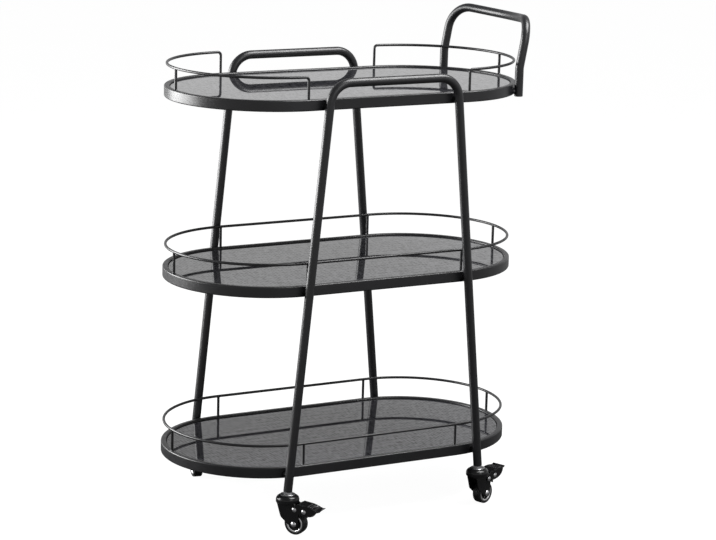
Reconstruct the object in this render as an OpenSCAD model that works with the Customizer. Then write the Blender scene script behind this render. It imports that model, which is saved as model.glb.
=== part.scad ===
// Three-tier serving cart: stadium trays with glass shelves, two splayed side
// frames, wire guard rails, a push handle and four braked swivel casters.
// X runs along the cart with the handle at +X, Y across it, Z up from the floor.

/* [Trays] */
// Length of a tray over its rim
tray_len = 680; // [600:10:800]
// Width of a tray over its rim
tray_w = 362; // [320:2:420]
// Height of the bottom rim's top edge above the floor
low_rim_z = 115; // [108:1:150]
// Rise from one tray to the next
tray_pitch = 330; // [260:5:380]
// Width of the rim tube, seen from above
rim_w = 10; // [8:0.5:14]
// Height of the rim tube
rim_h = 20; // [19:0.5:30]
// Wall of the rim tube
rim_wall = 1.2; // [0.8:0.1:2]

/* [Shelves] */
// Thickness of a glass shelf
glass_t = 4; // [3:0.5:4]
// Depth of the glass below the rim's top edge
glass_drop = 3; // [1:0.5:3]
// Gap between the glass and the rim all round
glass_gap = 1; // [0.5:0.5:3]
// Width of a shelf support tab
tab_w = 22; // [14:1:30]
// Reach of a tab under the glass
tab_reach = 14; // [12:1:20]
// Thickness of a tab
tab_t = 1.5; // [1:0.5:3]
// Place of the side tabs from the tray's middle
tab_x = 95; // [60:5:105]
// Angle of the end tabs round the end arc
tab_angle = 30; // [20:1:34]
// Diameter of the soft pad on a tab
pad_d = 10; // [6:1:11]
// Thickness of the pad
pad_t = 1; // [0.5:0.5:2]
// Set-back of a pad from its tab's tip
pad_inset = 1; // [0.5:0.5:3]

/* [Guard rails] */
// Diameter of the rail wire
wire_d = 5; // [3:0.5:6]
// Rise from the rim's top edge to the wire's centre
rail_rise = 39; // [25:1:60]
// Place of the side posts from the tray's middle
post_x = 158; // [140:1:158]
// Bend radius at the ends of the top rails
rail_bend = 6; // [4:1:10]
// Place of the top rails' ends from the tray's middle
rail_end_x = 163; // [159:1:175]
// Swell of the small balls that round the top rails' ends
wire_swell = 0.02; // [0.02:0.01:0.1]

/* [Side frames] */
// Diameter of the frame and handle tube
tube_d = 16; // [14:0.5:20]
// Wall of the tube
tube_wall = 1.2; // [0.8:0.1:2]
// Gap between the rims and the legs
frame_gap = 6; // [4:1:12]
// Distance between the two legs of a frame at their lower ends
foot_span = 396; // [340:2:440]
// Distance between the two legs of a frame at the top rim's top edge
shoulder_span = 259; // [220:1:280]
// Rise from the top rim's top edge to the arch's centre line
arch_rise = 29; // [22:1:60]
// Bend radius of the arch's corners
arch_bend = 40; // [25:1:60]

/* [Fixings] */
// Diameter of the frame and handle screws
screw_d = 5; // [4:0.5:6]
// Diameter of a screw's head
head_d = 9; // [8:0.5:9]
// Height of a screw's head
head_h = 2.5; // [2:0.25:3.5]
// Depth of the screws below the rim's top edge
screw_drop = 12; // [12:0.5:13]
// Diameter of a spacer boss
boss_d = 12; // [10:0.5:13]
// Diameter of the threaded nut set in a tube
nut_d = 8; // [7:0.5:9]
// Length of that nut
nut_len = 9; // [6:0.5:10]
// Clearance round a screw
screw_fit = 0.1; // [0.05:0.05:0.3]

/* [Handle] */
// Distance between the handle's two legs
handle_span = 270; // [240:2:300]
// Gap between the rim and the handle's legs
handle_gap = 2; // [1:0.5:6]
// Rise from the top rim's top edge to the kink
kink_rise = 31; // [22:1:45]
// Swell of the small ball that rounds the kink
kink_swell = 0.03; // [0.02:0.01:0.1]
// Outward lean of the handle above the kink
handle_lean = 10.5; // [0.5:0.5:20]
// Rise from the top rim's top edge to the grip's centre line
handle_rise = 118; // [95:1:160]
// Bend radius of the handle's corners
grip_bend = 45; // [25:1:48]
// Turn of the grip's ends away from straight across, which bows it outward, in degrees
grip_bow = 21; // [10:1:30]
// Reach of the end plugs up into the handle tube
plug_len = 4; // [2:0.5:5]
// Thickness of the end plugs' flange
plug_flange = 2; // [1:0.5:4]

/* [Casters] */
// Height of a caster from the floor to the leg's end
caster_h = 76; // [75:1:84]
// Diameter of the wheel
wheel_d = 40; // [36:1:41]
// Width of the tyre
wheel_w = 17; // [14:0.5:20]
// Distance of the wheel's axle behind the swivel axis
trail = 18; // [16:0.5:20]
// Thickness of the tyre
tyre_t = 4; // [3:0.5:5]
// Rounding of the tyre's shoulders
tyre_round = 2; // [1:0.5:2.5]
// Width of the bright trim ring
ring_w = 3.8; // [1.5:0.1:4.5]
// Thickness of the trim ring
ring_t = 1.2; // [0.8:0.1:1.4]
// Set-back of the hub's face from the tyre's side
hub_inset = 1.5; // [1.5:0.1:2.5]
// Diameter of the hub's middle boss
hub_boss_d = 12; // [11:0.5:14]
// Diameter of the axle bolt
axle_d = 6; // [5:0.5:7]
// Diameter of the axle bolt's head
axle_head_d = 11; // [9:0.5:13]
// Width across the flats of the axle nut
axle_nut_w = 10; // [9:0.5:12]
// Height of the axle bolt's head and nut
axle_head_h = 3; // [2:0.5:5]

/* [Swivels] */
// Diameter of the threaded stem
stem_d = 8; // [6:1:8]
// Depth of the stem in the leg's insert
stem_reach = 15; // [10:1:16]
// Height of the leg's insert
insert_h = 18; // [17:1:20]
// Width across the flats of the stem's hexagon collar
collar_w = 15; // [13:1:17]
// Height of the collar
collar_h = 4; // [3:0.5:5]
// Diameter of the top race disc
race_d = 27; // [22:1:34]
// Thickness of the race disc
race_t = 1.7; // [1:0.1:3]
// Diameter of the swivel's king pin
king_d = 10; // [9:0.5:12]
// Diameter of the king pin's lower head
king_head_d = 16; // [14:1:17]
// Height of that head
king_head_h = 2.6; // [2:0.1:4]
// Radial running clearance of every pin in its bore
run_fit = 0.05; // [0.02:0.01:0.1]
// Gap left between faces that turn past each other
run_gap = 0.3; // [0.3:0.05:0.5]

/* [Caster forks] */
// Diameter of the fork's hood
hood_d = 42; // [38:1:46]
// Height of the hood
hood_h = 13; // [11:0.5:14]
// Rounding of the hood's shoulder
hood_round = 8; // [5:0.5:9]
// Thickness of the hood's top plate
hood_plate = 3; // [2:0.5:3.5]
// Thickness of the fork's sheet
fork_t = 2; // [1.5:0.1:2.5]
// Gap between the tyre's side and a cheek
cheek_gap = 1; // [0.7:0.1:2]
// Radius of the cheek round the axle
eye_r = 8; // [7.5:0.5:9]
// Height of the bend in the cheek's front edge
nose_z = 31; // [28:1:34]
// Place of that bend ahead of the swivel axis
nose_x = 8; // [4:0.5:12]

/* [Brakes] */
// Place of the pedal's pivot behind the swivel axis
pivot_x = 20; // [19:0.5:21]
// Height of the pedal's pivot
pivot_z = 48; // [47.5:0.5:49]
// Diameter of the pivot pin
pivot_d = 5; // [4:0.5:6]
// Diameter of the pins' heads
pin_head_d = 8.4; // [7:0.2:9]
// Height of the pins' heads
pin_head_h = 1.8; // [1:0.1:3]
// Reach of the pedal behind the swivel axis
pedal_reach = 69; // [64:1:76]
// Thickness of the pedal's sheet
pedal_t = 1.6; // [1.2:0.1:2]
// Rise of the pedal's plate above the pivot
pedal_rise = 11.5; // [11:0.5:12]
// Distance from the pivot back to the pedal's bend
bend_back = 26; // [24:0.5:28]
// Tip of the pedal from pressed to released, in degrees
pedal_travel = 14; // [8:1:15]
// Width of the brake shoe
shoe_w = 14; // [10:0.5:16]
// Diameter of the shoe's rivet
rivet_d = 4; // [3:0.5:5]
// Distance of that rivet behind the pivot
rivet_back = 18.5; // [17.5:0.5:19.5]
// Drop of that rivet below the pivot
rivet_drop = 1.5; // [0:0.5:3]

/* [Hidden] */
$fn = 96;
big_fn = 360;
eps = 0.01;
trays = [0, 1, 2];
ends = [-1, 1];
end_r = tray_w / 2;
straight = tray_len / 2 - end_r;
inner_r = end_r - rim_w;
tab_drop = glass_drop + glass_t + pad_t;
top_rim_z = low_rim_z + 2 * tray_pitch;
rail_r = end_r - rim_w / 2;
rail_sweep = acos((rail_end_x + rail_bend - straight) / rail_r);

tube_r = tube_d / 2;
bore_r = tube_r - tube_wall;
frame_y = end_r + frame_gap + tube_r;
arch_z = top_rim_z + arch_rise;
lean = atan((foot_span - shoulder_span) / 2 / (top_rim_z - caster_h));
arch_corner = leg_x(arch_z);
arch_half = arch_corner - arch_bend * tan((90 - lean) / 2);

handle_ring = end_r + handle_gap + tube_r;
handle_angle = asin(handle_span / 2 / handle_ring);
handle_x = straight + handle_ring * cos(handle_angle);
handle_z0 = top_rim_z - rim_h;
kink_z = top_rim_z + kink_rise;
arm_len = (handle_rise - kink_rise) / cos(handle_lean) - grip_bend;
bow_r = (handle_span / 2 - grip_bend * cos(grip_bow)) / sin(grip_bow);

// Front left, front right, rear left and rear right: side signs, then the way
// each wheel trails, then 1 where the brake is pressed
corner = [[-1, -1], [1, -1], [-1, 1], [1, 1]];
swivel = [-54, 21, -102, 118];
pressed = [1, 0, 0, 0];

wheel_r = wheel_d / 2;
tyre_in = wheel_r - tyre_t;
hub_w = wheel_w - 2 * hub_inset;
cheek_in = wheel_w / 2 + cheek_gap;
cheek_out = cheek_in + fork_t;
collar_z = caster_h - collar_h;
race_z = collar_z - race_t;
hood_z = race_z - run_gap;
hood_z0 = hood_z - hood_h;
king_z = hood_z - hood_plate - run_gap;
cheek_half = sqrt(pow(hood_d / 2 - fork_t / 2, 2) - pow(cheek_out, 2));
skirt_in = cheek_out + run_gap;
skirt_out = skirt_in + pedal_t;
shoe_rivet = [pivot_x + rivet_back, pivot_z - rivet_drop];

// Height of a tray rim's top edge, trays counted from the bottom
function rim_z(t) = low_rim_z + t * tray_pitch;

// Place of a leg's centre line at a height
function leg_x(z) = foot_span / 2 - (z - caster_h) * tan(lean);

// Half width of a stadium of end radius r at a place along it
function side_y(x, r) = abs(x) <= straight ? r : sqrt(r * r - pow(abs(x) - straight, 2));

// Radius of the ball that a domed head of diameter d and height h is cut from
function dome_r(d, h) = (d * d / 4 + h * h) / (2 * h);

// Point of the pedal, given from its pivot
function from_pivot(p) = [pivot_x + p[0], pivot_z + p[1]];

// Flat stadium whose ends have radius r, round the tray's end centres
module stadium(r) {
  square([2 * straight, 2 * r], center = true);
  for (s = ends) translate([s * straight, 0]) circle(r, $fn = big_fn);
}

// Round bar between two points
module rod(p, q, r) {
  v = q - p;
  len = norm(v);
  translate(p) rotate([0, acos(v[2] / len), atan2(v[1], v[0])]) cylinder(h = len, r = r);
}

// Round bar bent through an angle about Z, starting on +X
module bent_rod(bend, angle, r) {
  rotate_extrude(angle = angle, $fn = big_fn) translate([bend, 0]) circle(r, $fn = 48);
}

// Pin buried in a wire across a joint, so that both sides stay one
module wire_key() {
  translate([0, 0, -wire_d / 4]) cylinder(h = wire_d / 2, d = wire_d / 2);
}

// Straight hollow tube along +Z
module tube(len) {
  difference() {
    cylinder(h = len, r = tube_r);
    cylinder(h = len, r = bore_r);
  }
}

// Ring buried in the tube's wall across a joint at Z = 0, so that both sides stay one
module wall_key() {
  translate([0, 0, -tube_wall / 2]) difference() {
    cylinder(h = tube_wall, r = tube_r - tube_wall / 3);
    translate([0, 0, -tube_wall]) cylinder(h = 3 * tube_wall, r = bore_r + tube_wall / 3);
  }
}

// Section drawn round the origin, swept about Z from +X through an angle of at
// most 90 degrees
module bent(bend, angle, fineness = $fn) {
  reach = bend + tube_d;
  intersection() {
    rotate([0, 0, 180]) rotate_extrude($fn = fineness) translate([bend, 0]) children();
    translate([0, 0, -tube_d]) cube([reach, reach, 2 * tube_d]);
    rotate([0, 0, angle - 90]) translate([0, 0, -tube_d]) cube([reach, reach, 2 * tube_d]);
  }
}

// Bar across a caster, centred on its middle plane
module cross_bar(x, z, r, len) {
  translate([x, 0, z]) rotate([90, 0, 0]) cylinder(h = len, r = r, center = true);
}

// Low dome on the XY plane
module dome(d, h) {
  big = dome_r(d, h);
  rotate_extrude() intersection() {
    translate([0, h - big]) circle(big);
    square([d / 2, h]);
  }
}

// Half section of a cap of radius r and height h with a rounded shoulder
module cap_section(r, h, round) {
  square([r - round, h]);
  square([r, h - round]);
  translate([r - round, h - round]) intersection() {
    circle(round);
    square(round);
  }
}

// Each place where a leg is screwed to a rim: the tray, the end and the side
module each_joint() {
  for (t = trays, sx = ends, sy = ends) {
    z = rim_z(t) - screw_drop;
    translate([sx * leg_x(z), 0, z]) rotate([0, 0, sy > 0 ? 0 : 180]) {
      $joint_x = leg_x(z);
      children();
    }
  }
}

// Each place where the handle is screwed to the top rim, +X pointing outward
module each_handle_joint() {
  for (s = ends)
    translate([straight, 0, top_rim_z - screw_drop]) rotate([0, 0, s * handle_angle]) children();
}

// Holes for the frame screws, from inside the trays into the legs
module frame_screw_holes() {
  each_joint() translate([0, end_r - 2 * rim_w - frame_gap, 0]) rotate([-90, 0, 0])
    cylinder(h = 2 * rim_w + 2 * frame_gap + tube_r, d = screw_d + 2 * screw_fit);
}

// Holes for the handle screws
module handle_screw_holes() {
  each_handle_joint() translate([inner_r - rim_w, 0, 0]) rotate([0, 90, 0])
    cylinder(h = 2 * rim_w + handle_gap + tube_r, d = screw_d + 2 * screw_fit);
}

// Each support tab of one tray, +X pointing outward from the rim's inner face
module each_tab() {
  for (sx = ends, sy = ends) {
    translate([sx * tab_x, sy * inner_r, 0]) rotate([0, 0, 90 * sy]) children();
    translate([sx * straight, 0, 0]) rotate([0, 0, (sx > 0 ? 0 : 180) + sy * tab_angle])
      translate([inner_r, 0, 0]) children();
  }
}

module tray_rim(t) {
  color("#1d1d1f") difference() {
    translate([0, 0, rim_z(t)]) {
      difference() {
        translate([0, 0, -rim_h]) linear_extrude(rim_h) difference() {
          stadium(end_r);
          stadium(inner_r);
        }
        translate([0, 0, rim_wall - rim_h]) linear_extrude(rim_h - 2 * rim_wall) difference() {
          stadium(end_r - rim_wall);
          stadium(inner_r + rim_wall);
        }
      }
      intersection() {
        translate([0, 0, -tab_drop]) each_tab() translate([-tab_reach, -tab_w / 2, -tab_t])
          cube([tab_reach + rim_w / 2, tab_w, tab_t]);
        translate([0, 0, -rim_h]) linear_extrude(rim_h) stadium(inner_r + rim_wall / 2);
      }
    }
    frame_screw_holes();
    if (t == 2) handle_screw_holes();
  }
}

module tray_glass(t) {
  color("#26262a") translate([0, 0, rim_z(t) - glass_drop - glass_t])
    linear_extrude(glass_t) stadium(inner_r - glass_gap);
}

module glass_pads() {
  color("#8f9294") for (t = trays) translate([0, 0, rim_z(t) - tab_drop])
    each_tab() translate([-tab_reach + pad_d / 2 + pad_inset, 0, 0]) cylinder(h = pad_t, d = pad_d);
}

// Post from the rim's top edge up to the rail
module rail_post(x, y, t) {
  translate([x, y, rim_z(t)]) cylinder(h = rail_rise, d = wire_d);
}

module closed_rail(t) {
  z = rim_z(t) + rail_rise;
  color("#232325") {
    for (s = ends) {
      translate([s * straight, 0, z]) rotate([0, 0, s > 0 ? -90 : 90]) bent_rod(rail_r, 180, wire_d / 2);
      rod([-straight, s * rail_r, z], [straight, s * rail_r, z], wire_d / 2);
      rail_post(s * (straight + rail_r), 0, t);
      for (sy = ends) rail_post(s * post_x, sy * side_y(post_x, rail_r), t);
    }
  }
}

// Rail round one end of the top tray, its two ends bent down to the rim. A small ball
// rounds each place where the wire turns down
module end_rail(s) {
  z = top_rim_z + rail_rise;
  color("#232325") rotate([0, 0, s > 0 ? 0 : 180]) {
    rail_post(straight + rail_r, 0, 2);
    translate([straight, 0, z]) {
      rotate([0, 0, -rail_sweep]) bent_rod(rail_r, 2 * rail_sweep, wire_d / 2);
      for (sy = ends) rotate([0, 0, sy * rail_sweep]) translate([rail_r, 0, 0]) {
        sphere(wire_d / 2 + wire_swell);
        translate([0, 0, -rail_bend]) rotate([90, 0, sy * 90]) bent_rod(rail_bend, 90, wire_d / 2);
        translate([0, sy * rail_bend, -rail_rise]) rotate([0, 0, sy * 90])
          cylinder(h = rail_rise - rail_bend, d = wire_d);
        translate([0, sy * rail_bend, -rail_bend]) wire_key();
      }
    }
  }
}

// Half of a side frame, in its own plane with Y up and the corner's centre at 0
module frame_half() {
  leg_len = (arch_z - arch_bend * (1 - sin(lean)) - caster_h) / cos(lean) + tube_r;
  translate([-arch_half, arch_bend, 0]) rotate([0, 90, 0]) rotate([0, 0, 90]) {
    tube(arch_half);
    translate([0, 0, arch_half]) wall_key();
  }
  rotate([0, 0, lean]) {
    bent(arch_bend, 90 - lean) difference() {
      circle(tube_r);
      circle(bore_r);
    }
    translate([arch_bend, 0, 0]) rotate([90, 0, 0]) tube(leg_len);
  }
}

module side_frame(s) {
  color("#1b1b1d") translate([0, s * frame_y, 0]) for (sx = ends) mirror([sx > 0 ? 0 : 1, 0, 0]) {
    difference() {
      translate([arch_half, 0, arch_z - arch_bend]) rotate([90, 0, 0]) frame_half();
      translate([0, -tube_d, 0]) cube([foot_span, 2 * tube_d, caster_h]);
      translate([0, -s * frame_y, 0]) frame_screw_holes();
    }
  }
}

// One solid leg of a frame, straight on past its end
module leg_bar(s, r) {
  translate([0, frame_y, 0])
    rod([s * leg_x(0), 0, 0], [s * leg_x(top_rim_z), 0, top_rim_z], r);
}

module frame_spacers() {
  color("#232325") for (t = trays, sx = ends, sy = ends) mirror([0, sy > 0 ? 0 : 1, 0]) {
    z = rim_z(t) - screw_drop;
    x = sx * leg_x(z);
    difference() {
      translate([x, side_y(leg_x(z), end_r) - boss_d / 2, z]) rotate([-90, 0, 0])
        cylinder(h = boss_d / 2 + frame_y - side_y(leg_x(z), end_r), d = boss_d);
      translate([0, 0, rim_z(t) - 2 * rim_h]) linear_extrude(3 * rim_h) stadium(end_r);
      leg_bar(sx, tube_r);
      translate([x, 0, z]) rotate([-90, 0, 0]) cylinder(h = frame_y, d = screw_d + 2 * screw_fit);
    }
  }
}

// Screw with a domed head and a hexagon socket, its shank along +Z from the seat
module socket_screw(len) {
  difference() {
    union() {
      cylinder(h = len, d = screw_d);
      mirror([0, 0, 1]) dome(head_d, head_h);
    }
    translate([0, 0, -head_h - eps]) cylinder(h = head_h * 0.7, d = screw_d * 0.7, $fn = 6);
  }
}

// Screws through the rims and spacers into the nuts in the legs, each with a
// wedge washer under its head where the rim curves
module frame_screws() {
  color("silver") for (t = trays, sx = ends, sy = ends) mirror([0, sy > 0 ? 0 : 1, 0]) {
    z = rim_z(t) - screw_drop;
    seat = side_y(leg_x(z) + head_d / 2, inner_r);
    translate([sx * leg_x(z), seat, z]) rotate([-90, 0, 0]) socket_screw(frame_y - seat);
    if (seat < inner_r) difference() {
      translate([sx * leg_x(z), seat, z]) rotate([-90, 0, 0]) cylinder(h = rim_w / 2, d = head_d);
      translate([0, 0, rim_z(t) - rim_h]) linear_extrude(rim_h) difference() {
        stadium(end_r);
        stadium(inner_r);
      }
    }
  }
}

// Threaded nuts set in the legs behind each screw, each with its rim on the bore
module frame_nuts() {
  seat = sqrt(bore_r * bore_r - nut_d * nut_d / 4) - eps;
  color("#b9bbbd") for (t = trays, sx = ends, sy = ends) mirror([0, sy > 0 ? 0 : 1, 0]) {
    z = rim_z(t) - screw_drop;
    translate([sx * leg_x(z), frame_y - seat, z]) rotate([-90, 0, 0]) difference() {
      cylinder(h = nut_len, d = nut_d);
      translate([0, 0, -1]) cylinder(h = nut_len + 2, d = screw_d + screw_fit);
    }
  }
}

// Solid bar of radius r up one side of the handle from its lower end at 0: leg,
// leaning arm and corner, with a ball at the kink and one at the corner's far end
module handle_half(r) {
  leg_len = kink_z - handle_z0;
  cylinder(h = leg_len, r = r);
  translate([0, 0, leg_len]) {
    sphere(r + kink_swell);
    rotate([0, handle_lean, 0]) {
      rotate([0, 0, grip_bow]) rotate([0, 0, 180]) cylinder(h = arm_len, r = r);
      rotate([0, 0, grip_bow]) translate([0, -grip_bend, arm_len]) {
        rotate([90, 0, 90]) bent(grip_bend, 90) rotate(-90) circle(r);
        translate([0, 0, grip_bend]) sphere(r + kink_swell);
      }
    }
  }
}

module handle_bar(r) {
  for (s = ends) mirror([0, s > 0 ? 0 : 1, 0])
    translate([handle_x, handle_span / 2, handle_z0]) handle_half(r);
  translate([handle_x, 0, kink_z]) rotate([0, handle_lean, 0])
    translate([grip_bend * sin(grip_bow) - bow_r * cos(grip_bow), 0, arm_len + grip_bend])
      rotate([0, 0, -grip_bow]) bent(bow_r, 2 * grip_bow, big_fn) rotate(180) circle(r);
}

module push_handle() {
  color("#1b1b1d") difference() {
    handle_bar(tube_r);
    handle_bar(bore_r);
    handle_screw_holes();
  }
}

module handle_plugs() {
  color("#141415") for (s = ends) translate([handle_x, s * handle_span / 2, handle_z0]) {
    translate([0, 0, -plug_flange]) cylinder(h = plug_flange, d = tube_d);
    cylinder(h = plug_len, r = bore_r);
  }
}

module handle_spacers() {
  color("#232325") difference() {
    each_handle_joint() translate([end_r - 1, 0, 0]) rotate([0, 90, 0]) difference() {
      cylinder(h = 1 + handle_gap + tube_r, d = boss_d);
      translate([0, 0, -1]) cylinder(h = 3 + handle_gap + tube_r, d = screw_d + 2 * screw_fit);
    }
    translate([0, 0, top_rim_z - 2 * rim_h]) linear_extrude(3 * rim_h) stadium(end_r);
    for (s = ends) translate([handle_x, s * handle_span / 2, top_rim_z - 2 * rim_h])
      cylinder(h = 3 * rim_h, r = tube_r);
  }
}

module handle_screws() {
  seat = sqrt(inner_r * inner_r - head_d * head_d / 4);
  color("silver") each_handle_joint() translate([seat, 0, 0]) rotate([0, 90, 0])
    socket_screw(handle_ring - seat);
}

// Inserts in the legs' lower ends, each with an upright threaded bore
module leg_inserts() {
  color("#b9bbbd") for (c = corner) difference() {
    intersection() {
      mirror([0, c[1] > 0 ? 0 : 1, 0]) leg_bar(c[0], bore_r);
      translate([c[0] * foot_span / 2, c[1] * frame_y, caster_h])
        translate([-tube_d, -tube_d, 0]) cube([2 * tube_d, 2 * tube_d, insert_h]);
    }
    translate([c[0] * foot_span / 2, c[1] * frame_y, caster_h - 1])
      cylinder(h = insert_h + 2, r = stem_d / 2 + run_fit);
  }
}

// Swivel axis of each corner, unturned
module at_leg(i) {
  translate([corner[i][0] * foot_span / 2, corner[i][1] * frame_y, 0]) children();
}

// Frame of each caster, +X pointing the way its wheel trails
module at_caster(i) {
  at_leg(i) rotate([0, 0, swivel[i]]) children();
}

// Pedal pieces are drawn pressed, and tipped up where the brake is released
module at_pedal(i) {
  at_caster(i) translate([pivot_x, 0, pivot_z]) rotate([0, pressed[i] ? 0 : -pedal_travel, 0])
    translate([-pivot_x, 0, -pivot_z]) children();
}

module caster_races() {
  color("#d8dadc") for (i = [0:3]) at_leg(i) translate([0, 0, race_z]) difference() {
    cylinder(h = race_t, d = race_d);
    translate([0, 0, -1]) cylinder(h = race_t + 2, r = king_d / 2 + run_fit);
  }
}

module caster_stem(i) {
  color("#d8dadc") at_leg(i) {
    translate([0, 0, collar_z]) cylinder(h = collar_h, d = collar_w / cos(30), $fn = 6);
    translate([0, 0, caster_h]) cylinder(h = stem_reach, d = stem_d);
    translate([0, 0, king_z]) cylinder(h = collar_z - king_z, d = king_d);
    translate([0, 0, king_z - king_head_h]) cylinder(h = king_head_h, d = king_head_d);
  }
}

// Side outline of a fork's cheek, from under the hood's plate to the axle's eye
module cheek_outline() {
  lug_x = pivot_x + 7.5;
  polygon([
    [-cheek_half, hood_z - hood_plate / 2],
    [-cheek_half, hood_z0],
    [-nose_x, nose_z],
    [trail + eye_r * cos(235), wheel_r + eye_r * sin(235)],
    [trail + eye_r * cos(-20), wheel_r + eye_r * sin(-20)],
    [lug_x, pivot_z - 5],
    [lug_x, pivot_z + 3],
    [cheek_half, hood_z0],
    [cheek_half, hood_z - hood_plate / 2]
  ]);
  translate([trail, wheel_r]) circle(eye_r);
}

module caster_fork(i) {
  color("#17171a") at_caster(i) difference() {
    union() {
      translate([0, 0, hood_z0]) rotate_extrude() difference() {
        cap_section(hood_d / 2, hood_h, hood_round);
        translate([0, -1])
          cap_section(hood_d / 2 - fork_t, hood_h - hood_plate + 1, hood_round - fork_t);
      }
      for (s = ends) translate([0, s * (cheek_in + fork_t / 2) + fork_t / 2, 0]) rotate([90, 0, 0])
        linear_extrude(fork_t) cheek_outline();
    }
    translate([0, 0, hood_z0]) cylinder(h = hood_h + 1, r = king_d / 2 + run_fit);
    cross_bar(trail, wheel_r, axle_d / 2 + run_fit, 4 * cheek_out);
    cross_bar(pivot_x, pivot_z, pivot_d / 2 + run_fit, 4 * cheek_out);
  }
}

module caster_axle(i) {
  color("#d8dadc") at_caster(i) translate([trail, 0, wheel_r]) rotate([90, 0, 0]) {
    translate([0, 0, -cheek_out - axle_head_h - 1])
      cylinder(h = 2 * cheek_out + axle_head_h + 1, d = axle_d);
    translate([0, 0, cheek_out]) dome(axle_head_d, axle_head_h);
    translate([0, 0, -cheek_out - axle_head_h])
      cylinder(h = axle_head_h, d = axle_nut_w / cos(30), $fn = 6);
  }
}

module caster_hub(i) {
  color("#202022") at_caster(i) translate([trail, 0, wheel_r]) rotate([90, 0, 0]) difference() {
    union() {
      cylinder(h = hub_w, r = tyre_in, center = true);
      cylinder(h = 2 * (cheek_in - run_gap), d = hub_boss_d, center = true);
    }
    for (s = ends) translate([0, 0, s * hub_w / 2]) difference() {
      cylinder(h = hub_w / 3, r = tyre_in - ring_w, center = true);
      cylinder(h = hub_w, d = hub_boss_d, center = true);
    }
    cylinder(h = 4 * cheek_in, r = axle_d / 2 + run_fit, center = true);
  }
}

module caster_trim(i) {
  color("#e4e6e8") at_caster(i) translate([trail, 0, wheel_r]) rotate([90, 0, 0])
    for (s = ends) translate([0, 0, s * (hub_w + ring_t) / 2]) difference() {
      cylinder(h = ring_t, r = tyre_in, center = true);
      cylinder(h = 2 * ring_t, r = tyre_in - ring_w, center = true);
    }
}

module caster_tyre(i) {
  color("#111112") at_caster(i) translate([trail, 0, wheel_r]) rotate([90, 0, 0])
    rotate_extrude() {
      translate([tyre_in, -wheel_w / 2]) square([tyre_t - tyre_round, wheel_w]);
      translate([tyre_in, tyre_round - wheel_w / 2]) square([tyre_t, wheel_w - 2 * tyre_round]);
      for (s = ends) translate([wheel_r - tyre_round, s * (wheel_w / 2 - tyre_round)]) circle(tyre_round);
    }
}

// Top line of the pedal's plate, pressed, from the fork out to the lip
function pedal_line(drop) = [
  [pivot_x + 7, pivot_z + pedal_rise - drop],
  [pivot_x + bend_back, pivot_z + pedal_rise - 2 - drop],
  [pedal_reach - 11, pivot_z + 6 - drop],
  [pedal_reach - 5, pivot_z + 3.5 - drop],
  [pedal_reach, pivot_z + 4.5 - drop]
];

function reversed(list) = [for (k = [len(list) - 1:-1:0]) list[k]];

// Side outline of the pedal's skirts
module skirt_outline() {
  polygon(concat(
    [from_pivot([-6, 0]), from_pivot([-3, 5])],
    [for (k = [0:3]) pedal_line(0)[k]],
    [
      [pedal_reach - 5, pivot_z - 2],
      [pedal_reach - 11, pivot_z - 8],
      from_pivot([bend_back, -9.5]),
      from_pivot([14, -8.5]),
      from_pivot([3, -5.2])
    ]
  ));
  translate([pivot_x, pivot_z]) circle(6);
}

module caster_pedal(i) {
  color("#161617") at_pedal(i) difference() {
    union() {
      for (s = ends) translate([0, s * (skirt_in + pedal_t / 2) + pedal_t / 2, 0]) rotate([90, 0, 0])
        linear_extrude(pedal_t) skirt_outline();
      translate([0, skirt_out, 0]) rotate([90, 0, 0]) linear_extrude(2 * skirt_out)
        polygon(concat(pedal_line(0), reversed(pedal_line(pedal_t))));
      translate([0, shoe_w / 2, 0]) rotate([90, 0, 0]) linear_extrude(shoe_w) polygon([
        from_pivot([9, 10]), from_pivot([17, 10]), from_pivot([19, -14]), from_pivot([10, -18])
      ]);
    }
    cross_bar(trail, wheel_r, wheel_r + run_gap, 2 * shoe_w);
    cross_bar(pivot_x, pivot_z, pivot_d / 2 + run_fit, 4 * skirt_out);
    cross_bar(shoe_rivet[0], shoe_rivet[1], rivet_d / 2 + run_fit, 4 * skirt_out);
  }
}

// Pin with a domed head at both ends, across a caster
module headed_pin(x, z, d, half) {
  cross_bar(x, z, d / 2, 2 * half);
  for (s = ends) translate([x, s * half, z]) rotate([-90 * s, 0, 0]) dome(pin_head_d, pin_head_h);
}

module caster_pivot(i) {
  color("#d8dadc") at_caster(i) headed_pin(pivot_x, pivot_z, pivot_d, skirt_out + run_gap);
}

module caster_rivet(i) {
  color("#d8dadc") at_pedal(i) headed_pin(shoe_rivet[0], shoe_rivet[1], rivet_d, skirt_out);
}

tray_rim(0);  // bottom_rim
tray_rim(1);  // middle_rim
tray_rim(2);  // top_rim
tray_glass(0);  // bottom_glass
tray_glass(1);  // middle_glass
tray_glass(2);  // top_glass
glass_pads();
closed_rail(0);  // bottom_rail
closed_rail(1);  // middle_rail
end_rail(-1);  // top_left_rail
end_rail(1);  // top_right_rail
side_frame(-1);  // front_frame
side_frame(1);  // rear_frame
push_handle();
handle_plugs();
frame_spacers();
frame_screws();
frame_nuts();
handle_spacers();
handle_screws();
leg_inserts();
caster_races();
caster_stem(0);  // front_left_stem
caster_fork(0);  // front_left_fork
caster_axle(0);  // front_left_axle
caster_hub(0);  // front_left_hub
caster_trim(0);  // front_left_trim
caster_tyre(0);  // front_left_tyre
caster_pedal(0);  // front_left_pedal
caster_pivot(0);  // front_left_pivot
caster_rivet(0);  // front_left_rivet
caster_stem(1);  // front_right_stem
caster_fork(1);  // front_right_fork
caster_axle(1);  // front_right_axle
caster_hub(1);  // front_right_hub
caster_trim(1);  // front_right_trim
caster_tyre(1);  // front_right_tyre
caster_pedal(1);  // front_right_pedal
caster_pivot(1);  // front_right_pivot
caster_rivet(1);  // front_right_rivet
caster_stem(2);  // rear_left_stem
caster_fork(2);  // rear_left_fork
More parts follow.
